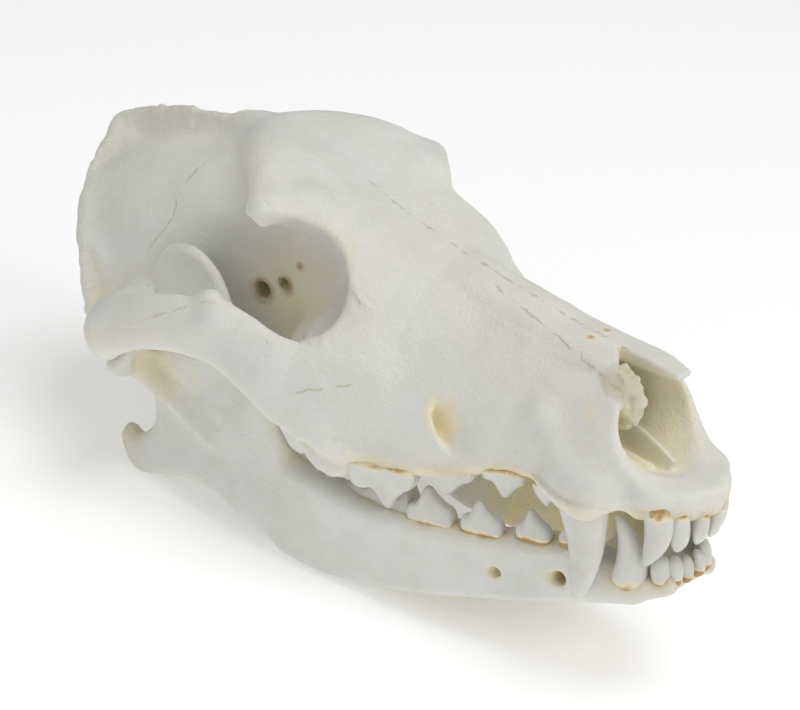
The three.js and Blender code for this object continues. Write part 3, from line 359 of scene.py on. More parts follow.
# Sutures on the left side: the cheek arch, the braincase, along the nasal bones, the cheek and the midline
SUTURES = (
    ((73, 62.4, 33.5), (85, 60.6, 38.5), (94, 57.5, 42.5), (107, 52.7, 47)),
    ((56.5, 15.7, 67), (54, 23.7, 59.3), (55.5, 27.6, 52.3), (50, 32, 44)),
    ((165, 5.5, 51), (187, 8.8, 44.6), (211, 12, 37)),
    ((129, 47, 23), (138, 41, 25)),
    ((112, 0, 69), (147, 0, 56), (203, 0, 43)),
)
SUTURE_REACH = 4.0

# Stains, a painted hole and rough places: place, reach along each axis, share
OCHRE_SPOTS = (
    ((98, 20, 36), (26, 14, 22), 0.55),  # inside of the eye socket
    ((60, 46, 13), (14, 14, 9), 0.6),  # above the jaw joint
    ((163, 27, 18), (9, 6, 9), 0.8),  # canal below the eye
    ((124, 27, 56), (7, 7, 14), 0.25),  # front rim of the eye socket
    ((196, 3.6, 44), (4, 3, 3), 0.5),  # speck on the nasal bone
    ((207, 17.6, 29.5), (3, 3, 3), 0.4),  # beside the nose opening
    ((46, 62, 22), (22, 14, 8), 0.2),  # rear of the cheek arch
    ((150, 0, 0), (80, 24, 9), 0.5),  # palate
)
BROWN_SPOTS = (
    ((85, 19, 34.5), (5, 6, 5), 1),  # holes for nerves behind the eye
    ((94, 19, 38), (4, 5, 4), 0.8),
    # painted shade: a dark spot that stands for a small hole behind the eye, with no hole cut under it
    ((100, 19, 45.5), (1.8, 2, 1.8), 0.8),
    ((196, 3.6, 44.4), (1.2, 1.2, 1.2), 0.9),  # speck on the nasal bone
    ((160, 24, 18), (6, 3, 6), 0.5),  # canal below the eye
)
ROUGH_SPOTS = (
    ((105, 51, 46), (7, 5, 6), 0.6),  # eye corner of the cheek arch
    ((103, 39, 66), (6, 5, 5), 0.5),  # brow's corner
    ((46, 46, 12), (12, 12, 9), 0.5),  # above the jaw joint
)
JAW_OCHRE_SPOTS = (
    ((62, 40, 8), (16, 8, 14), 0.45),
    ((45, 37, -20), (9, 8, 10), 0.4),
    ((198, 19, -22), (5, 5, 4), 0.7),
    ((181, 24, -24), (3.5, 5, 3.5), 0.7),
    ((112, 38, 0), (9, 6, 14), 0.35),
)
JAW_BROWN_SPOTS = (
    ((199.5, 16, -22), (3.2, 4.5, 2.8), 1),
    ((182.5, 21, -24), (2.4, 4, 2.2), 1),
)
JAW_ROUGH_SPOTS = (
    ((43, 37, -20), (8, 8, 10), 0.9),
    ((52, 40, 8), (8, 14, 6), 0.5),
)
RING_WIDTH = 3.0  # reach of a stain around a tooth
RING_HEIGHT = 6.0
HOLLOW_REACHES = (3, 6, 12)
CREST_EDGE = 3.0  # reach of the wear along the crests
SPONGE_EDGE = 0.8
# ochre on the walls inside the nose: partly stain, partly a painted glow of light shining through the thin
# bone
NOSE_AXIS_LEVEL = 26.0
NOSE_STAIN_AND_GLOW_REACH = 17.0  # from that axis
NOSE_STAIN_AND_GLOW_FROM = 180.0
NOSE_STAIN_AND_GLOW_TO = 228.0
NOSE_STAIN_AND_GLOW_FADES = (10, 12)
JAW_STAIN_FROM = 120.0  # the stain inside the lower jaw
JAW_STAIN_FADE = 30.0
JAW_MIDLINE = 0.15  # the jaw's left half starts this far from the midline
JAW_GAP = 0.16  # half the gap between the halves once the bone is weathered

# Waves, frayed edges and pits of the skin: cell and height of each noise
LATTICE = np.random.default_rng(7).uniform(-1, 1, (64, 64, 64))
WAVES = ((11, 0.22), (4.3, 0.1))
FRAYS = ((2.4, 0.45), (5.7, 0.3))
PITS = ((1.9, 1.1),)
SMOOTHING_PULLS = (0.5, -0.53)
FIBRE_SHARES = (0.16, 1, 0.8)  # the fibres' noise is drawn out along the skull

# Colours
BONE_PALE = (0.80, 0.805, 0.77, 1)
BONE_DULL = (0.73, 0.735, 0.69, 1)
# warm yellow of the hollows: partly real staining, partly painted warm bounce light between the bone's
# walls
BONE_HOLLOW_STAIN_AND_BOUNCE = (0.93, 0.87, 0.66, 1)
BONE_OCHRE = (0.92, 0.79, 0.46, 1)
BONE_BROWN = (0.38, 0.20, 0.05, 1)
BONE_SUTURE = (0.58, 0.50, 0.33, 1)
TOOTH_PALE = (0.74, 0.74, 0.70, 1)
TOOTH_DULL = (0.67, 0.665, 0.60, 1)

WHITE = (1, 1, 1, 1)

# Floor, surroundings and lights, in metres: place, size and watts of each light
FLOOR_REACH = 3.0
FLOOR_COLOR = (0.97, 0.97, 0.97, 1)
FLOOR_GLOW = 0.25
WORLD_STRENGTH = 0.33
LIT_PLACE = (0, 0, 0.05)
LIGHTS = (
    ("top", (0.35, 0.1, 1.5), 0.9, 8.4),
    ("front", (1.3, 0.1, 1.0), 0.6, 4.8),
    ("fill", (0, -1.2, 0.9), 1.0, 2.0),
)

MIDDLE = (1,)
BOTH_SIDES = (1, -1)
FAR_AWAY = 60.0
TINY = 1e-9


def held(value):
    return np.clip(value, 0, 1)


def smooth_min(a, b, blend):
    if blend <= 0:
        return np.minimum(a, b)
    near = np.maximum(blend - np.abs(a - b), 0) / blend
    return np.minimum(a, b) - near * near * blend * 0.25


def smooth_max(a, b, blend):
    return -smooth_min(-a, -b, blend)


def smooth_line(places, values, at):
    """Values on a smooth line through knots, with averaged slopes, level past both ends."""
    places = np.asarray(places, float)
    values = np.asarray(values, float)
    steps = np.diff(values) / np.diff(places)
    slopes = np.concatenate([steps[:1], (steps[1:] + steps[:-1]) / 2, steps[-1:]])
    at = np.clip(at, places[0], places[-1])
    i = np.clip(np.searchsorted(places, at) - 1, 0, len(places) - 2)
    width = places[i + 1] - places[i]
    t = (at - places[i]) / width
    s = 1 - t
    rise = (1 + 2 * t) * s * s * values[i] + t * t * (3 - 2 * t) * values[i + 1]
    return rise + t * s * s * width * slopes[i] - t * t * s * width * slopes[i + 1]


def between(grid, first, share):
    """Values between a grid's points, from the eight around each place."""
    total = np.zeros(len(first))
    for corner in np.ndindex(2, 2, 2):
        weight = np.prod(np.where(corner, share, 1 - share), axis=1)
        total += weight * grid[tuple(((first + corner) % grid.shape).T)]
    return total


class Field:
    """Distances to a skin on a grid, negative inside, which shapes are joined to or cut from."""

    def __init__(self, low, high, cell):
        self.low = np.array(low, float)
        self.cell = cell
        self.axes = [np.arange(a, b + cell, cell).astype(np.float32) for a, b in zip(low, high)]
        self.value = np.full([len(axis) for axis in self.axes], FAR_AWAY, np.float32)

    def apply(self, shape, blend, sides, combine):
        low, high, distance = shape
        margin = blend + 2 * self.cell
        for side in sides:
            box_low = np.array(low, float) - margin
            box_high = np.array(high, float) + margin
            if side < 0:
                box_low[1], box_high[1] = -box_high[1], -box_low[1]
            cut = tuple(
                slice(np.searchsorted(axis, a), np.searchsorted(axis, b))
                for axis, a, b in zip(self.axes, box_low, box_high)
            )
            x, y, z = [axis[part] for axis, part in zip(self.axes, cut)]
            found = distance(x[:, None, None], y[None, :, None] * side, z[None, None, :])
            self.value[cut] = combine(self.value[cut], found.astype(np.float32), blend)

    def join(self, shape, blend=0.0, sides=MIDDLE):
        """Joins a shape to the skin; the blend is how far the corner between them is rounded."""
        self.apply(shape, blend, sides, smooth_min)

    def cut(self, shape, blend=0.0, sides=MIDDLE):
        self.apply(shape, blend, sides, lambda a, b, k: smooth_max(a, -b, k))

    def sample(self, points):
        """Distances at any points, straight between the grid's."""
        size = np.array(self.value.shape)
        place = np.clip((points - self.low) / self.cell, 0, size - 1.001)
        first = place.astype(int)
        return between(self.value, first, place - first)


# Rounded shapes: low and high corner of the box that holds each one, and its distance function


def turn_matrix(turn):
    x, y, z = np.radians(turn)
    return np.array(Matrix.Rotation(z, 3, "Z") @ Matrix.Rotation(y, 3, "Y") @ Matrix.Rotation(x, 3, "X"))


def ellipsoid(at, radii, turn=(0, 0, 0)):
    at = np.array(at, float)
    axes = turn_matrix(turn)
    reach = np.sqrt(((axes * np.array(radii)) ** 2).sum(1))

    def distance(x, y, z):
        near = TINY
        steep = TINY
        for axis, radius in zip(axes.T, radii):
            along = (axis[0] * (x - at[0]) + axis[1] * (y - at[1]) + axis[2] * (z - at[2])) / radius
            near = near + along**2
            steep = steep + (along / radius) ** 2
        scale = np.sqrt(near)
        return scale * (scale - 1) / np.sqrt(steep)

    return at - reach, at + reach, distance


def rod(start, end, start_radius, end_radius):
    start = np.array(start, float)
    end = np.array(end, float)
    run = end - start
    big = max(start_radius, end_radius)

    def distance(x, y, z):
        dx, dy, dz = x - start[0], y - start[1], z - start[2]
        t = held((dx * run[0] + dy * run[1] + dz * run[2]) / (run @ run))
        off = np.sqrt((dx - t * run[0]) ** 2 + (dy - t * run[1]) ** 2 + (dz - t * run[2]) ** 2)
        return off - (start_radius + t * (end_radius - start_radius))

    return np.minimum(start, end) - big, np.maximum(start, end) + big, distance


def oval(h, w, v, height, thick):
    h, w, v = h / height, w / thick, v / thick
    scale = np.sqrt(h * h + w * w + v * v + TINY)
    steep = np.sqrt((h / height) ** 2 + (w / thick) ** 2 + (v / thick) ** 2 + TINY)
    return scale * (scale - 1) / steep


def band(h, w, v, height, thick):
    beyond = np.maximum(np.abs(h) - np.maximum(height - thick, 0), 0)
    return np.sqrt(beyond * beyond + w * w + v * v) - thick


def slab(h, w, v, height, thick):
    corner = 0.75 * np.minimum(height, thick)
    up = np.abs(h) - (height - corner)
    out = np.abs(w) - (thick - corner)
    past = np.sqrt(np.maximum(up, 0) ** 2 + np.maximum(out, 0) ** 2 + v * v)
    return past + np.minimum(np.maximum(up, out), 0) - corner


def rib(rows, up=(0, 0, 1), center=None, steps=18, section=oval):
    """A section along a smooth path; its height points along up, or away from a center."""
    rows = np.array(rows, float)
    hops = np.linalg.norm(np.diff(rows[:, :3], axis=0), axis=1)
    travel = np.concatenate([[0], np.cumsum(hops)])
    stops = np.linspace(0, travel[-1], steps)
    path = np.stack([smooth_line(travel, rows[:, i], stops) for i in range(5)], 1)

    def distance(x, y, z):
        best = None
        for a, b in zip(path[:-1], path[1:]):
            run = b[:3] - a[:3]
            along = run / np.linalg.norm(run)
            rise = np.array(up, float) if center is None else (a[:3] + b[:3]) / 2 - np.array(center)
            rise = rise - along * (rise @ along)
            rise = rise / np.linalg.norm(rise)
            side = np.cross(along, rise)
            dx, dy, dz = x - a[0], y - a[1], z - a[2]
            t = held((dx * run[0] + dy * run[1] + dz * run[2]) / (run @ run))
            dx, dy, dz = dx - t * run[0], dy - t * run[1], dz - t * run[2]
            height = a[3] + t * (b[3] - a[3])
            thick = a[4] + t * (b[4] - a[4])
            h = dx * rise[0] + dy * rise[1] + dz * rise[2]
            w = dx * side[0] + dy * side[1] + dz * side[2]
            v = dx * along[0] + dy * along[1] + dz * along[2]
            found = section(h, w, v, height, thick)
            best = found if best is None else np.minimum(best, found)
        return best

    big = path[:, 3:].max()
    return path[:, :3].min(0) - big, path[:, :3].max(0) + big, distance


def loft(rows, round_ends):
    """A body lofted along x; each section is two half ovals that meet at its widest level."""
    rows = np.array(rows, float)
    start, end = rows[0, 0], rows[-1, 0]

    def distance(x, y, z):
        lines = [smooth_line(rows[:, 0], rows[:, i], x) for i in range(1, 7)]
        top, level, bottom, width, upper, lower = lines
        above = z >= level
        power = np.where(above, upper, lower)
        height = np.where(above, top - level, level - bottom)
        share = np.abs(y / width) ** power + np.abs((z - level) / height) ** power
        skin = ((share + TINY) ** (1 / power) - 1) * np.minimum(width, height) * 0.9
        return smooth_max(skin, np.maximum(start - x, x - end), round_ends)

    wide = rows[:, 4].max()
    return (start, -wide, rows[:, 3].min()), (end, wide, rows[:, 1].max()), distance


def rounded(outline, parts=4):
    """A closed outline drawn smoothly through its corners."""
    corners = np.array(outline, float)
    before, after, beyond = [np.roll(corners, -n, axis=0) for n in (-1, 1, 2)]
    points = []
    for t in np.arange(parts) / parts:
        linear = (after - before) * t
        square = (2 * before - 5 * corners + 4 * after - beyond) * t * t
        cube = (3 * corners - before - 3 * after + beyond) * t * t * t
        points.append(corners + (linear + square + cube) / 2)
    return np.stack(points, 1).reshape(-1, 2)


def plate(outline, middle, half, rounding, reach_y):
    """A plate with an outline in x and z, and half its thickness on each side of its middle surface."""
    points = rounded(outline)

    def edge(x, z):
        near = np.full(np.broadcast(x, z).shape, np.inf)
        sign = np.ones(near.shape)
        for a, b in zip(points, np.roll(points, 1, axis=0)):
            ex, ez = b - a
            wx, wz = x - a[0], z - a[1]
            t = held((wx * ex + wz * ez) / (ex * ex + ez * ez))
            near = np.minimum(near, (wx - ex * t) ** 2 + (wz - ez * t) ** 2)
            above, below, left = z >= a[1], z < b[1], ex * wz > ez * wx
            crossed = (above & below & left) | (~above & ~below & ~left)
            sign = np.where(crossed, -sign, sign)
        return sign * np.sqrt(near)

    def distance(x, y, z):
        return smooth_max(edge(x, z), np.abs(y - middle(x, z)) - half(x, z), rounding)

    low = (points[:, 0].min(), reach_y[0], points[:, 1].min())
    high = (points[:, 0].max(), reach_y[1], points[:, 1].max())
    return low, high, distance


def skin_of(field):
    """The field's skin as vertices and four-sided faces: one vertex for each cell that the skin crosses."""
    value = field.value
    shape = np.array(value.shape)
    strides = np.array([shape[1] * shape[2], shape[2], 1])
    all_cells = []
    all_points = []
    for axis in range(3):
        first = [slice(None)] * 3
        second = [slice(None)] * 3
        first[axis] = slice(0, -1)
        second[axis] = slice(1, None)
        a, b = value[tuple(first)], value[tuple(second)]
        at = np.argwhere((a < 0) != (b < 0))
        u, v = (axis + 1) % 3, (axis + 2) % 3
        at = at[(at[:, u] > 0) & (at[:, v] > 0)]
        fa, fb = a[tuple(at.T)], b[tuple(at.T)]
        point = at.astype(float)
        point[:, axis] += fa / (fa - fb)
        base = at @ strides
        cells = np.stack(
            [base, base - strides[u], base - strides[u] - strides[v], base - strides[v]], 1
        )
        cells[fa >= 0] = cells[fa >= 0][:, ::-1]
        all_cells.append(cells)
        all_points.append(point)
    cells = np.concatenate(all_cells)
    points = np.concatenate(all_points)
    names, faces = np.unique(cells, return_inverse=True)
    faces = faces.reshape(cells.shape)
    order = faces.ravel()
    count = np.bincount(order, minlength=len(names))
    places = [np.bincount(order, np.repeat(points[:, i], 4), len(names)) / count for i in range(3)]
    return np.stack(places, 1) * field.cell + field.low, faces


def normals_of(vertices, faces):
    diagonals = vertices[faces[:, 2]] - vertices[faces[:, 0]], vertices[faces[:, 3]] - vertices[faces[:, 1]]
    face_normals = np.cross(*diagonals)
    normals = np.zeros_like(vertices)
    for i in range(3):
        normals[:, i] = np.bincount(faces.ravel(), np.repeat(face_normals[:, i], 4), len(vertices))
    return normals / (np.linalg.norm(normals, axis=1, keepdims=True) + TINY)


def smoothed(vertices, faces, rounds=2):
    """Evens out the grid's small steps: each round pulls in a little, then pushes back out."""
    pairs = np.concatenate([faces[:, [i, (i + 1) % 4]] for i in range(4)])
    pairs = np.concatenate([pairs, pairs[:, ::-1]])
    count = np.bincount(pairs[:, 0], minlength=len(vertices))
    for _ in range(rounds):
        for pull in SMOOTHING_PULLS:
            sums = [np.bincount(pairs[:, 0], vertices[pairs[:, 1], i], len(vertices)) for i in range(3)]
            vertices = vertices + pull * (np.stack(sums, 1) / count[:, None] - vertices)
    return vertices


def noise_at(points, cell):
    """Smooth noise between -1 and 1, from a seeded lattice that repeats."""
    place = points / cell
    first = np.floor(place).astype(int)
    share = place - first
    return between(LATTICE, first, share * share * (3 - 2 * share))


# The bones


def nose_opening():
    """Open space in front of a leaning rim and above the floor of the nose."""

    def distance(x, y, z):
        rim = NOSE_RIM - NOSE_LEAN * (z - NOSE_RIM_LEVEL)
        floor = NOSE_FLOOR - NOSE_LEAN * (x - NOSE_FLOOR_X)
        return smooth_max(rim - x, floor - z, NOSE_OPENING_ROUNDING) + 0 * y

    return *NOSE_OPENING_BOX, distance


def broken_nasal():
    """The front of the right nasal bone, broken off along a slanting line."""
    low, high = BROKEN_NASAL

    def distance(x, y, z):
        beyond = (low[0] - BROKEN_NASAL_SLANT * y - x) / math.hypot(1, BROKEN_NASAL_SLANT)
        return np.maximum(np.maximum(beyond, y), np.maximum(low[2] - z, low[1] - y))

    return low, high, distance


def cranium_field():
    field = Field(*HEAD_BOX, BONE_CELL)
    field.join(loft(CORE, 6))
    field.join(loft(FOREHEAD, 5), 3)
    field.join(rib(POSTORBITAL, steps=5), 8, BOTH_SIDES)
    field.join(loft(SNOUT, 4), 6)
    field.join(rod(*CANINE_ROOT), 5, BOTH_SIDES)
    field.join(ellipsoid(*CANINE_BONE), 5, BOTH_SIDES)
    for bone_around in INCISOR_BONES:
        field.join(ellipsoid(*bone_around), 3, BOTH_SIDES)
    field.cut(ellipsoid(*BROW_DIP), 9)
    field.cut(ellipsoid(*EYE_SOCKET), 2.5, BOTH_SIDES)
    field.cut(ellipsoid(*HOLLOW_BELOW_EYE), 5, BOTH_SIDES)
    field.join(ellipsoid(*EYE_SOCKET_FLOOR), 8, BOTH_SIDES)
    field.join(rib(MOLAR_EDGE, steps=6), 5, BOTH_SIDES)
    field.cut(ellipsoid(*NOSE_PASSAGE), 3)
    field.cut(ellipsoid(*NOSE_FLARE), 3)
    field.cut(nose_opening(), 2)
    field.cut(ellipsoid(*PALATE_VAULT), 3)
    field.cut(ellipsoid(*INNER_NOSTRILS), 3)
    field.cut(ellipsoid(*LOWER_CANINE_ROOM), 3, BOTH_SIDES)
    field.join(rib(SAGITTAL_CREST, section=band), 8)
    field.join(rib(NUCHAL_CREST, center=CREST_CENTER, section=band), 8, BOTH_SIDES)
    field.join(rib(CHEEK_ARCH, up=ARCH_UP, steps=26), 5, BOTH_SIDES)
    field.join(rod(*ARCH_EYE_CORNER), 5, BOTH_SIDES)
    field.join(rod(*BROW_CORNER), 4, BOTH_SIDES)
    field.join(rod(*BEHIND_JAW_JOINT), 4, BOTH_SIDES)
    at, radii, turn = JAW_JOINT
    field.cut(ellipsoid(at, np.array(radii) + JAW_JOINT_PLAY, turn), 1.5, BOTH_SIDES)
    field.join(ellipsoid(*EAR_BULLA), 3, BOTH_SIDES)
    field.join(ellipsoid(*NECK_CONDYLE), 3, BOTH_SIDES)
    field.join(rod(*BESIDE_CONDYLE), 5, BOTH_SIDES)
    field.join(rib(PTERYGOID, steps=10), 3, BOTH_SIDES)
    field.cut(rod(*SPINAL_CORD_HOLE), 2)
    field.cut(rod(*EAR_HOLE), 1.5, BOTH_SIDES)
    for hole in EYE_NERVE_HOLES:
        field.cut(rod(*hole), 1, BOTH_SIDES)
    field.cut(rib(INFRAORBITAL, steps=6), 2, BOTH_SIDES)
    field.join(loft(NASALS, 1.5), 2)
    field.cut(broken_nasal(), 1)
    field.join(ellipsoid(*NOSE_SPONGE), 1)
    field.join(rib(NOSE_RIDGE, steps=5, section=band), 1.5)
    field.join(rib(NOSE_SHELF, steps=5, section=band), 1.5)
    return field


def mandible_field():
    """The left half of the lower jaw."""
    field = Field(*JAW_BOX, BONE_CELL)

    def middle(x, z):
        lean = BRANCH_LEAN * (z - BRANCH_LEVEL)
        return BRANCH_OUT + lean - BRANCH_TURN * np.maximum(x - BRANCH_TURN_FROM, 0)

    def half(x, z):
        swell = np.exp(-(((z - SWELL_LEVEL) / SWELL_REACH) ** 2))
        return BRANCH_HALF + BRANCH_SWELL * swell + 0 * x

    field.join(plate(JAW_BRANCH, middle, half, 5, BRANCH_REACH))
    field.join(rib(JAW_BODY, up=JAW_BODY_UP, steps=22, section=slab), 6)
    field.join(ellipsoid(*JAW_JOINT), 4)
    field.join(rod(*LOWER_CANINE_ROOT), 4)
    field.join(rod(*CHIN_JOIN), 5)
    field.cut(ellipsoid(*CHEWING_HOLLOW), 1.5)
    field.cut(ellipsoid(*UPPER_CHEWING_HOLLOW), 2)
    field.cut(rod(*LOWER_CHEWING_HOLLOW), 1.5)
    field.join(rod(*CHEWING_RIDGE), 2)
    for hole in CHIN_HOLES:
        field.cut(rod(*hole), 1)
    field.cut((*JAW_BOX, lambda x, y, z: y - JAW_MIDLINE + 0 * x * z))
    return field


# Teeth, made lying in their own axes: along the row, outward, and from the gum to the tip


def blade(outline):
    def crown(field, length, width, height):
        points = [(along * length, up * height) for along, up in outline]
        spread = ROOT_SPREAD * length
        points += [(spread, -ROOT_DEPTH), (0, -ROOT_FORK * ROOT_DEPTH), (-spread, -ROOT_DEPTH)]

        def half(x, z):
            taper = CROWN_TAPER * held(z / height) + ROOT_THINNING * held(-z / ROOT_TAPER)
            return width / 2 * (1 - taper) + 0 * x

        reach = (-width / 2, width / 2)
        field.join(plate(points, lambda x, z: 0 * x * z, half, 2, reach))

    return crown


def molar(field, length, width, height):
    size = np.array((length, width, height))
    field.join(ellipsoid((0, 0, -MOLAR_DEPTH), size * MOLAR_BODY + (0, 0, MOLAR_DEPTH)))
    wall = size * MOLAR_WALL
    wall_radius = WALL_RADIUS * width
    field.join(rod(wall * (-1, 1, 1), wall, wall_radius, wall_radius), 1.5)
    for shares in MOLAR_CUSPS:
        x, y, tip = size * shares
        field.join(rod((x, y, -CUSP_DEPTH), (x, y, tip - CUSP_TIP), CUSP_BASE, CUSP_TIP), 1.5)


def curved(rows):
    def crown(field, length, width, height):
        path = np.array(rows) * (length, length, height, width, length)
        field.join(rib(path, up=(0, 1, 0), steps=16))

    return crown


# Teeth of the left side: place at the gum, heading of the row in degrees, length along the row, width
# across it, crown height, crown
UPPER_TEETH = (
    ((235.3, 3.2, 3), 80, 4.8, 5.5, 8.5, curved(INCISOR)),
    ((232.5, 8.6, 3.6), 58, 5.5, 6.2, 10.5, curved(INCISOR)),
    ((227.6, 13.4, 4.5), 35, 9, 7.5, 15.5, curved(CORNER_INCISOR)),
    ((208.3, 20.6, 5), 12, 14, 9.5, 29, curved(UPPER_CANINE)),
    ((195.7, 20.9, 6), 12, 7.5, 5, 6.5, blade(PEG)),
    ((182.6, 22.8, 6.4), 14, 13, 5.5, 8, blade(PREMOLAR)),
    ((165.6, 28.2, 4.6), 17, 17.5, 6, 8.6, blade(PREMOLAR)),
    ((147.5, 34.2, 1.6), 14, 21, 8, 13, blade(UPPER_CARNASSIAL)),
    ((130.5, 32, 1.5), -8, 13.5, 14, 5, molar),
    ((120.5, 30, 3), -20, 8, 11, 4, molar),
)
LOWER_TEETH = (
    ((230.8, 2.6, -16.3), 80, 4.2, 5, 4.6, curved(INCISOR)),
    ((229.8, 6.4, -16.3), 65, 4.8, 5.5, 5.2, curved(INCISOR)),
    ((227.2, 9.6, -16.8), 45, 5.8, 6, 6, curved(INCISOR)),
    ((218.2, 12.4, -18.4), 20, 11, 8.5, 20.1, curved(LOWER_CANINE)),
    ((201.5, 18, -10), 14, 5, 4.5, 4.6, blade(PEG)),
    ((191.6, 20.6, -11), 14, 10.5, 5, 8, blade(LOWER_PREMOLAR)),
    ((176.2, 24.5, -12.6), 13, 13, 5.5, 8.6, blade(LOWER_PREMOLAR)),
    ((160.1, 27.8, -13.4), 12, 14.5, 6.5, 10, blade(LOWER_PREMOLAR)),
    ((141, 28, -14), 8, 24, 9, 11.5, blade(LOWER_CARNASSIAL)),
    ((122.5, 30.8, -11.5), 8, 9.5, 7.5, 6, molar),
    ((114, 32.5, -8.5), 8, 5, 4.5, 3.2, blade(PEG)),
)


def tooth_mesh(row, upper, side):
    """One tooth in its place: vertices, faces, and each vertex's share of the way from gum to tip."""
    at, heading, length, width, height, crown = row
    low = np.array((-length / 2, -width / 2, -ROOT_DEPTH)) - TOOTH_ROOM
    high = np.array((length / 2, width / 2, height)) + TOOTH_ROOM
    field = Field(low, high, TOOTH_CELL)
    crown(field, length, width, height)
    local, faces = skin_of(field)
    local = smoothed(local, faces, 1)
    up = -1 if upper else 1
    turn = math.radians(heading)
    along, out, rise = local.T
    x = at[0] + along * math.cos(turn) + out * math.sin(turn)
    y = side * (at[1] - along * math.sin(turn) + out * math.cos(turn))
    z = at[2] + up * rise
    if up * side < 0:
        faces = faces[:, ::-1]
    return np.stack([x, y, z], 1), faces, rise / height


def teeth_mesh(rows, upper, sides):
    vertices, faces, shares = [], [], []
    count = 0
    for side in sides:
        for row in rows:
            v, f, share = tooth_mesh(row, upper, side)
            vertices.append(v)
            faces.append(f + count)
            shares.append(share)
            count += len(v)
    return np.concatenate(vertices), np.concatenate(faces), np.concatenate(shares)


# Wear, stains, cracks and painted light of the bone, as shares at each vertex: painted warm bounce light in
# the hollows, and a painted glow inside the nose


def folded(points):
    """Both sides of the skull laid on its left side."""
    return np.stack([points[:, 0], np.abs(points[:, 1]), points[:, 2]], 1)


def distance_to(shape, points):
    return shape[2](points[:, 0], points[:, 1], points[:, 2])


def spots(points, table):
    """The strongest of some soft round spots at each point."""
    total = np.zeros(len(points))
    for at, radii, share in table:
        off = (points - np.array(at)) / np.array(radii)
        total = np.maximum(total, share * held(1 - (off**2).sum(1)))
    return total


def socket_rings(points, rows):
    """1 in the bone right around a tooth, falling to 0 a few millimetres off."""
    ring = np.zeros(len(points))
    for at, heading, length, width, _, _ in rows:
        turn = math.radians(heading)
        x, y, z = (points - np.array(at)).T
        along = x * math.cos(turn) - y * math.sin(turn)
        out = x * math.sin(turn) + y * math.cos(turn)
        gap = (np.hypot(along / length, out / width) * 2 - 1) * width / 2
        near = held(1 - gap / RING_WIDTH) * held(1 - np.abs(z) / RING_HEIGHT)
        ring = np.maximum(ring, near)
    return ring


def hollowness(field, points, normals):
    """How closed in the space before each point is, from 0 in the open to 1 in a narrow hole."""
    total = np.zeros(len(points))
    for reach in HOLLOW_REACHES:
        total += held(1 - field.sample(points + normals * reach) / reach)
    return total / len(HOLLOW_REACHES)


def cracks(points, normals):
    """Distance across the nearest suture, signed, and a share that is 1 on a suture and 0 away from it."""
    across = np.zeros(len(points))
    nearest = np.full(len(points), FAR_AWAY)
    for line in SUTURES:
        line = np.array(line, float)
        for a, b in zip(line[:-1], line[1:]):
            run = b - a
            off = points - a
            t = held(off @ run / (run @ run))
            off = off - t[:, None] * run
            far = np.linalg.norm(off, axis=1)
            sideways = np.cross(run / np.linalg.norm(run), normals)
            closer = far < nearest
            nearest = np.where(closer, far, nearest)
            across = np.where(closer, (off * sideways).sum(1), across)
    return across, held((SUTURE_REACH - nearest) / 2)


def cranium_shares(field, points, normals):
    side = folded(points)
    crest = np.minimum(
        distance_to(rib(SAGITTAL_CREST, section=band), side),
        distance_to(rib(NUCHAL_CREST, center=CREST_CENTER, section=band), side),
    )
    edge = held(1 - crest / CREST_EDGE)
    sponge = held(1 - distance_to(ellipsoid(*NOSE_SPONGE), points) / SPONGE_EDGE)
    # walls inside the nose that face its axis turn ochre: partly stain, partly a painted glow of light
    # shining through the thin bone
    to_axis = points * (0, -1, -1) + (0, 0, NOSE_AXIS_LEVEL)
    to_axis = to_axis / (np.linalg.norm(to_axis, axis=1, keepdims=True) + TINY)
    facing = held((to_axis * normals).sum(1) * 2)
    fade_in, fade_out = NOSE_STAIN_AND_GLOW_FADES
    depth = held((side[:, 0] - NOSE_STAIN_AND_GLOW_FROM) / fade_in)
    depth = depth * held((NOSE_STAIN_AND_GLOW_TO - side[:, 0]) / fade_out)
    in_nose = facing * depth * (np.hypot(side[:, 1], side[:, 2] - NOSE_AXIS_LEVEL) < NOSE_STAIN_AND_GLOW_REACH)
    # how closed in each point is, which tints the hollows: partly stain, partly painted warm bounce light
    hollow = hollowness(field, points, normals)
    ring = socket_rings(side, UPPER_TEETH)
    side_normals = normals * np.where(points[:, 1:2] < 0, (1, -1, 1), (1, 1, 1))
    across, crack = cracks(side, side_normals)
    ochre = 0.5 * in_nose + 0.4 * sponge + spots(side, OCHRE_SPOTS) + 0.08 * edge + 0.5 * ring
    return {
        "ochre": held(ochre),
        "brown": held(spots(side, BROWN_SPOTS) + 0.45 * ring**3),
        "hollow": hollow,
        "rough": held(edge + 0.6 * ring + spots(side, ROUGH_SPOTS)) + 2 * sponge,
        "across": across,
        "crack": crack,
    }


def mandible_shares(field, points, normals):
    ring = socket_rings(points, LOWER_TEETH)
    inner = held(-normals[:, 1])
    inner = inner * held((points[:, 0] - JAW_STAIN_FROM) / JAW_STAIN_FADE)
    return {
        "ochre": held(0.9 * inner + spots(points, JAW_OCHRE_SPOTS) + 0.55 * ring),
        "brown": held(spots(points, JAW_BROWN_SPOTS) + 0.5 * ring**3),
        # how closed in each point is, which tints the hollows: partly stain, partly painted warm bounce
        # light
        "hollow": hollowness(field, points, normals),
        "rough": held(0.8 * ring + spots(points, JAW_ROUGH_SPOTS)),
        "across": np.zeros(len(points)),
        "crack": np.zeros(len(points)),
    }


def relief(points, table):
    return sum(height * noise_at(points, cell) for cell, height in table)


def weathered(points, normals, rough):
    """The skin with slight waves, with frayed edges where it is rough, and with pits in its sponge."""
    waves = relief(points, WAVES)
    frayed = rough * relief(points, FRAYS)
    pitted = held(rough - 1) * relief(points, PITS)
    return points + normals * (waves + frayed + pitted)[:, None]


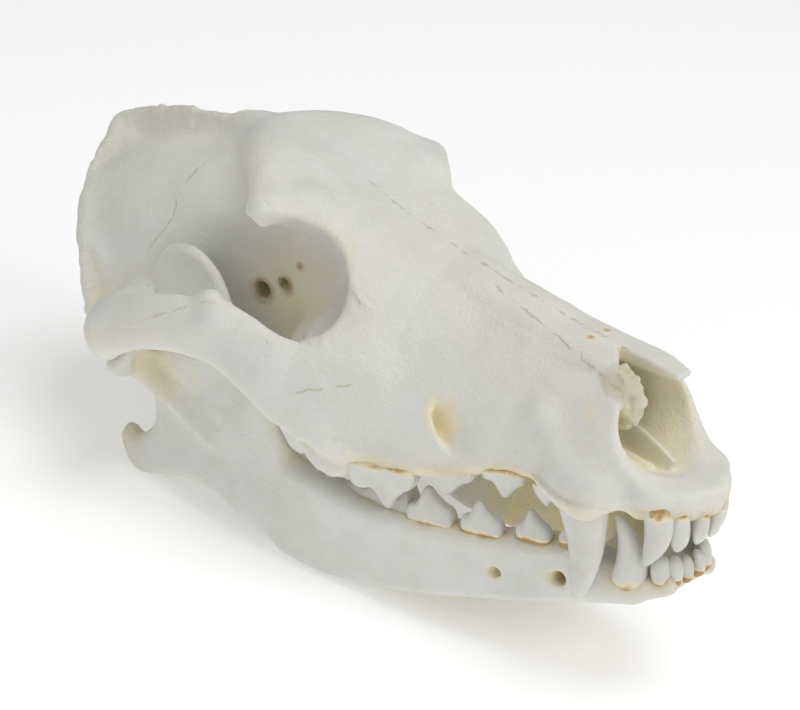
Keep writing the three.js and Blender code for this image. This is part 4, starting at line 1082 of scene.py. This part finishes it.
def bone_mesh(field, shares_of):
    points, faces = skin_of(field)
    points = smoothed(points, faces)
    normals = normals_of(points, faces)
    shares = shares_of(field, points, normals)
    return weathered(points, normals, shares["rough"]), faces, shares


# From grids to pieces in the part's frame


def pitched(points):
    angle = math.radians(REST_PITCH)
    c, s = math.cos(angle), math.sin(angle)
    turn = np.array([[c, 0, -s], [0, 1, 0], [s, 0, c]])
    return points @ turn.T


def part_along(mesh, planes):
    """Keeps what lies behind every plane, and closes the cuts flat."""
    body = bmesh.new()
    body.from_mesh(mesh)
    for place, normal in planes:
        everything = body.verts[:] + body.edges[:] + body.faces[:]
        bmesh.ops.bisect_plane(body, geom=everything, plane_co=place, plane_no=normal, clear_outer=True)
        rim = [edge for edge in body.edges if edge.is_boundary]
        caps = bmesh.ops.triangle_fill(body, edges=rim, use_beauty=True, normal=normal)
        for face in caps["geom"]:
            face.smooth = False
    body.to_mesh(mesh)
    body.free()


def add_object(name, data):
    thing = bpy.data.objects.new(name, data)
    bpy.context.scene.collection.objects.link(thing)
    return thing


def make_piece(name, node, points, faces, shares, material, planes=()):
    """A smooth piece in the part's frame that stands for a node; what lies under the floor is worn flat."""
    kept = np.ones(len(faces), bool)
    for place, normal in planes:
        kept &= ((points - place) @ normal < 0)[faces].any(1)
    used, faces = np.unique(faces[kept], return_inverse=True)
    mesh = bpy.data.meshes.new(name)
    mesh.from_pydata(points[used].tolist(), [], faces.reshape(-1, 4).tolist())
    mesh.polygons.foreach_set("use_smooth", np.ones(len(mesh.polygons), bool))
    for label, values in shares.items():
        attribute = mesh.attributes.new(label, "FLOAT", "POINT")
        attribute.data.foreach_set("value", values[used].astype(np.float32))
    if planes:
        part_along(mesh, planes)
    places = np.empty(len(mesh.vertices) * 3)
    mesh.vertices.foreach_get("co", places)
    places = (pitched(places.reshape(-1, 3)) + shift) * MM
    places[:, 2] = np.maximum(places[:, 2], 0)
    mesh.vertices.foreach_set("co", places.ravel())
    mesh.materials.append(material)
    mesh.update()
    piece = add_object(name, mesh)
    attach(piece, "root")
    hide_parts(node)


# Materials


def new_material(name):
    material = bpy.data.materials.new(name)
    material.use_nodes = True
    return material, material.node_tree, material.node_tree.nodes["Principled BSDF"]


def set_inputs(node, inputs):
    """Gives each input a value or another node's output."""
    for name, value in inputs.items():
        if isinstance(value, bpy.types.NodeSocket):
            node.id_data.links.new(value, node.inputs[name])
        else:
            node.inputs[name].default_value = value


def add_node(tree, kind, inputs, **settings):
    node = tree.nodes.new("ShaderNode" + kind)
    for name, value in settings.items():
        setattr(node, name, value)
    set_inputs(node, inputs)
    return node


def place_of(tree):
    return add_node(tree, "TexCoord", {}).outputs["Object"]


def share_of(tree, name):
    return add_node(tree, "Attribute", {}, attribute_name=name).outputs["Fac"]


def noise_of(tree, scale, detail, roughness=0.55):
    """Noise around 0.5, with this many cells a metre."""
    inputs = {"Vector": place_of(tree), "Scale": scale, "Detail": detail, "Roughness": roughness}
    return add_node(tree, "TexNoise", inputs).outputs["Fac"]


def ranged(tree, value, low, high, to_low=0.0, to_high=1.0):
    inputs = {"Value": value, "From Min": low, "From Max": high, "To Min": to_low, "To Max": to_high}
    return add_node(tree, "MapRange", inputs).outputs["Result"]


def times(tree, a, b):
    return add_node(tree, "Math", {0: a, 1: b}, operation="MULTIPLY").outputs[0]


def plus(tree, a, b):
    return add_node(tree, "Math", {0: a, 1: b}, operation="ADD").outputs[0]


def tinted(tree, share, below, above):
    inputs = {0: share, 6: below, 7: above}
    return add_node(tree, "Mix", inputs, data_type="RGBA").outputs[2]


def raised(tree, height, strength, depth, below=None):
    inputs = {"Height": height, "Strength": strength, "Distance": depth}
    if below is not None:
        inputs["Normal"] = below
    return add_node(tree, "Bump", inputs).outputs["Normal"]


def fibres_of(tree):
    """Fine fibres that run along the skull."""
    drawn_out = add_node(tree, "Mapping", {"Vector": place_of(tree), "Scale": FIBRE_SHARES})
    where = drawn_out.outputs["Vector"]
    inputs = {"Vector": where, "Scale": 900, "Detail": 4, "Roughness": 0.6, "Distortion": 0.4}
    return add_node(tree, "TexNoise", inputs).outputs["Fac"]


def pores_of(tree, scale):
    inputs = {"Vector": place_of(tree), "Scale": scale}
    cells = add_node(tree, "TexVoronoi", inputs).outputs["Distance"]
    some = ranged(tree, noise_of(tree, 130, 2), 0.52, 0.66)
    return times(tree, ranged(tree, cells, 0.08, 0.22, 1, 0), some)


def bone_material():
    material, tree, shader = new_material("bone")
    rough = share_of(tree, "rough")
    pores = pores_of(tree, 430)
    wiggle = ranged(tree, noise_of(tree, 420, 3), 0, 1, -1.3, 1.3)
    across = plus(tree, share_of(tree, "across"), wiggle)
    off_line = add_node(tree, "Math", {0: across}, operation="ABSOLUTE").outputs[0]
    line = ranged(tree, off_line, 0.12, 0.42, 1, 0)
    broken = ranged(tree, noise_of(tree, 160, 2), 0.4, 0.55)
    line = times(tree, times(tree, line, share_of(tree, "crack")), broken)
    patchy = ranged(tree, noise_of(tree, 240, 5), 0.32, 0.68, 0.5, 1.2)
    color = tinted(tree, ranged(tree, noise_of(tree, 60, 4), 0.35, 0.65), BONE_PALE, BONE_DULL)
    stains_and_painted_light = (
        # the first entry is painted warm bounce light in the hollows, mixed with their real staining; the
        # rest are stains, pores and sutures
        (share_of(tree, "hollow"), 0.75, BONE_HOLLOW_STAIN_AND_BOUNCE),
        (times(tree, rough, 0.1), patchy, BONE_OCHRE),
        (share_of(tree, "ochre"), patchy, BONE_OCHRE),
        (share_of(tree, "brown"), patchy, BONE_BROWN),
        (pores, 0.25, BONE_OCHRE),
        (line, 0.6, BONE_SUTURE),
    )
    for share, strength, stain_and_light_tint in stains_and_painted_light:
        color = tinted(tree, times(tree, share, strength), color, stain_and_light_tint)
    bumps = raised(tree, noise_of(tree, 900, 5, 0.65), 0.6, 0.0006)
    bumps = raised(tree, fibres_of(tree), 0.35, 0.0005, bumps)
    bumps = raised(tree, times(tree, noise_of(tree, 700, 5, 0.7), rough), 0.7, 0.0008, bumps)
    bumps = raised(tree, times(tree, plus(tree, pores, line), -1.0), 0.5, 0.0004, bumps)
    looks = {"Base Color": color, "Normal": bumps, "Roughness": 0.58, "Specular IOR Level": 0.35}
    set_inputs(shader, looks)
    return material


def tooth_material():
    material, tree, shader = new_material("tooth")
    crown = share_of(tree, "crown")
    ragged = plus(tree, crown, ranged(tree, noise_of(tree, 300, 3), 0.3, 0.7, -0.07, 0.07))
    color = tinted(tree, ranged(tree, noise_of(tree, 130, 4), 0.35, 0.65), TOOTH_PALE, TOOTH_DULL)
    color = tinted(tree, ranged(tree, ragged, -0.06, 0.1, 0.85, 0), color, BONE_OCHRE)
    color = tinted(tree, ranged(tree, ragged, -0.12, 0.0, 0.85, 0), color, BONE_BROWN)
    bumps = raised(tree, noise_of(tree, 500, 3), 0.1, 0.0003)
    set_inputs(shader, {"Base Color": color, "Normal": bumps, "Roughness": 0.28})
    depth = {"Subsurface Weight": 0.15, "Subsurface Radius": (1.0, 0.8, 0.6), "Subsurface Scale": 0.001}
    set_inputs(shader, depth)
    return material


# Making the pieces

head_points, head_faces, head_shares = bone_mesh(cranium_field(), cranium_shares)
jaw_points, jaw_faces, jaw_shares = bone_mesh(mandible_field(), mandible_shares)
jaw_points[:, 1] = np.maximum(jaw_points[:, 1], JAW_GAP)

everything = pitched(np.concatenate([head_points, jaw_points, jaw_points * (1, -1, 1)]))
own_low, own_high = everything.min(0), everything.max(0)
shift = (np.array(cad_low) + cad_high) / 2 / MM - (own_low + own_high) / 2
shift[2] = -own_low[2] - FLAT_DEPTH

bone = bone_material()
enamel = tooth_material()
lean = math.radians(FACE_CUT_LEAN)
to_face = np.array([math.cos(lean), 0, -math.sin(lean)])
to_left = np.array([0, 1, 0])
face_cut = np.array([FACE_CUT_X, 0, 0])
arch_cut = np.array([0, ARCH_CUT, 0])
inside_arches = ((arch_cut - SEAM * to_left, to_left), (-arch_cut + SEAM * to_left, -to_left))
head_parts = (
    ("braincase", (*inside_arches, (face_cut - SEAM * to_face, to_face))),
    ("face", (*inside_arches, (face_cut + SEAM * to_face, -to_face))),
    ("cheek_arch_left", ((arch_cut + SEAM * to_left, -to_left),)),
    ("cheek_arch_right", ((-arch_cut - SEAM * to_left, to_left),)),
)
for node, planes in head_parts:
    make_piece(f"{node}_bone", node, head_points, head_faces, head_shares, bone, planes)
for side, name in ((1, "left"), (-1, "right")):
    node = f"mandible_{name}"
    points = jaw_points * (1, side, 1)
    faces = jaw_faces if side > 0 else jaw_faces[:, ::-1]
    make_piece(f"{node}_bone", node, points, faces, jaw_shares, bone)
    points, faces, crown = teeth_mesh(LOWER_TEETH, False, (side,))
    make_piece(f"lower_teeth_{name}", node, points, faces, {"crown": crown}, enamel)
points, faces, crown = teeth_mesh(UPPER_TEETH, True, BOTH_SIDES)
make_piece("upper_teeth", "face", points, faces, {"crown": crown}, enamel)


# Floor, light and camera


def add_floor():
    r = FLOOR_REACH
    mesh = bpy.data.meshes.new("floor")
    mesh.from_pydata([(-r, -r, 0), (r, -r, 0), (r, r, 0), (-r, r, 0)], [], [(0, 1, 2, 3)])
    material, _, shader = new_material("floor")
    set_inputs(shader, {"Base Color": FLOOR_COLOR, "Roughness": 0.9, "Specular IOR Level": 0.1})
    set_inputs(shader, {"Emission Color": WHITE, "Emission Strength": FLOOR_GLOW})
    mesh.materials.append(material)
    add_object("floor", mesh)


def add_light(name, place, size, watts):
    data = bpy.data.lights.new(name, "AREA")
    data.size = size
    data.energy = watts
    light = add_object(name, data)
    light.location = place
    light.rotation_euler = (Vector(LIT_PLACE) - Vector(place)).to_track_quat("-Z", "Y").to_euler()


def add_camera():
    azimuth, elevation = math.radians(EYE_AZIMUTH), math.radians(EYE_ELEVATION)
    level = math.cos(elevation)
    back = np.array([math.sin(azimuth) * level, -math.cos(azimuth) * level, math.sin(elevation)])
    right = np.array([math.cos(azimuth), math.sin(azimuth), 0])
    axes = pitched(np.array([right, np.cross(back, right), back]))
    place = (pitched(np.array([EYE])) + shift)[0] * MM
    data = bpy.data.cameras.new("camera")
    data.sensor_width = SENSOR
    data.lens = SENSOR * FOCAL_PIXELS / PHOTO_WIDTH
    data.clip_end = FAR_CLIP
    camera = add_object("camera", data)
    camera.matrix_world = Matrix.Translation(place) @ Matrix(axes.T.tolist()).to_4x4()
    bpy.context.scene.camera = camera


def add_world():
    world = bpy.data.worlds.new("studio")
    world.use_nodes = True
    set_inputs(world.node_tree.nodes["Background"], {"Color": WHITE, "Strength": WORLD_STRENGTH})
    bpy.context.scene.world = world


add_floor()
add_world()
for light in LIGHTS:
    add_light(*light)
add_camera()
bpy.context.scene.view_settings.view_transform = "Standard"
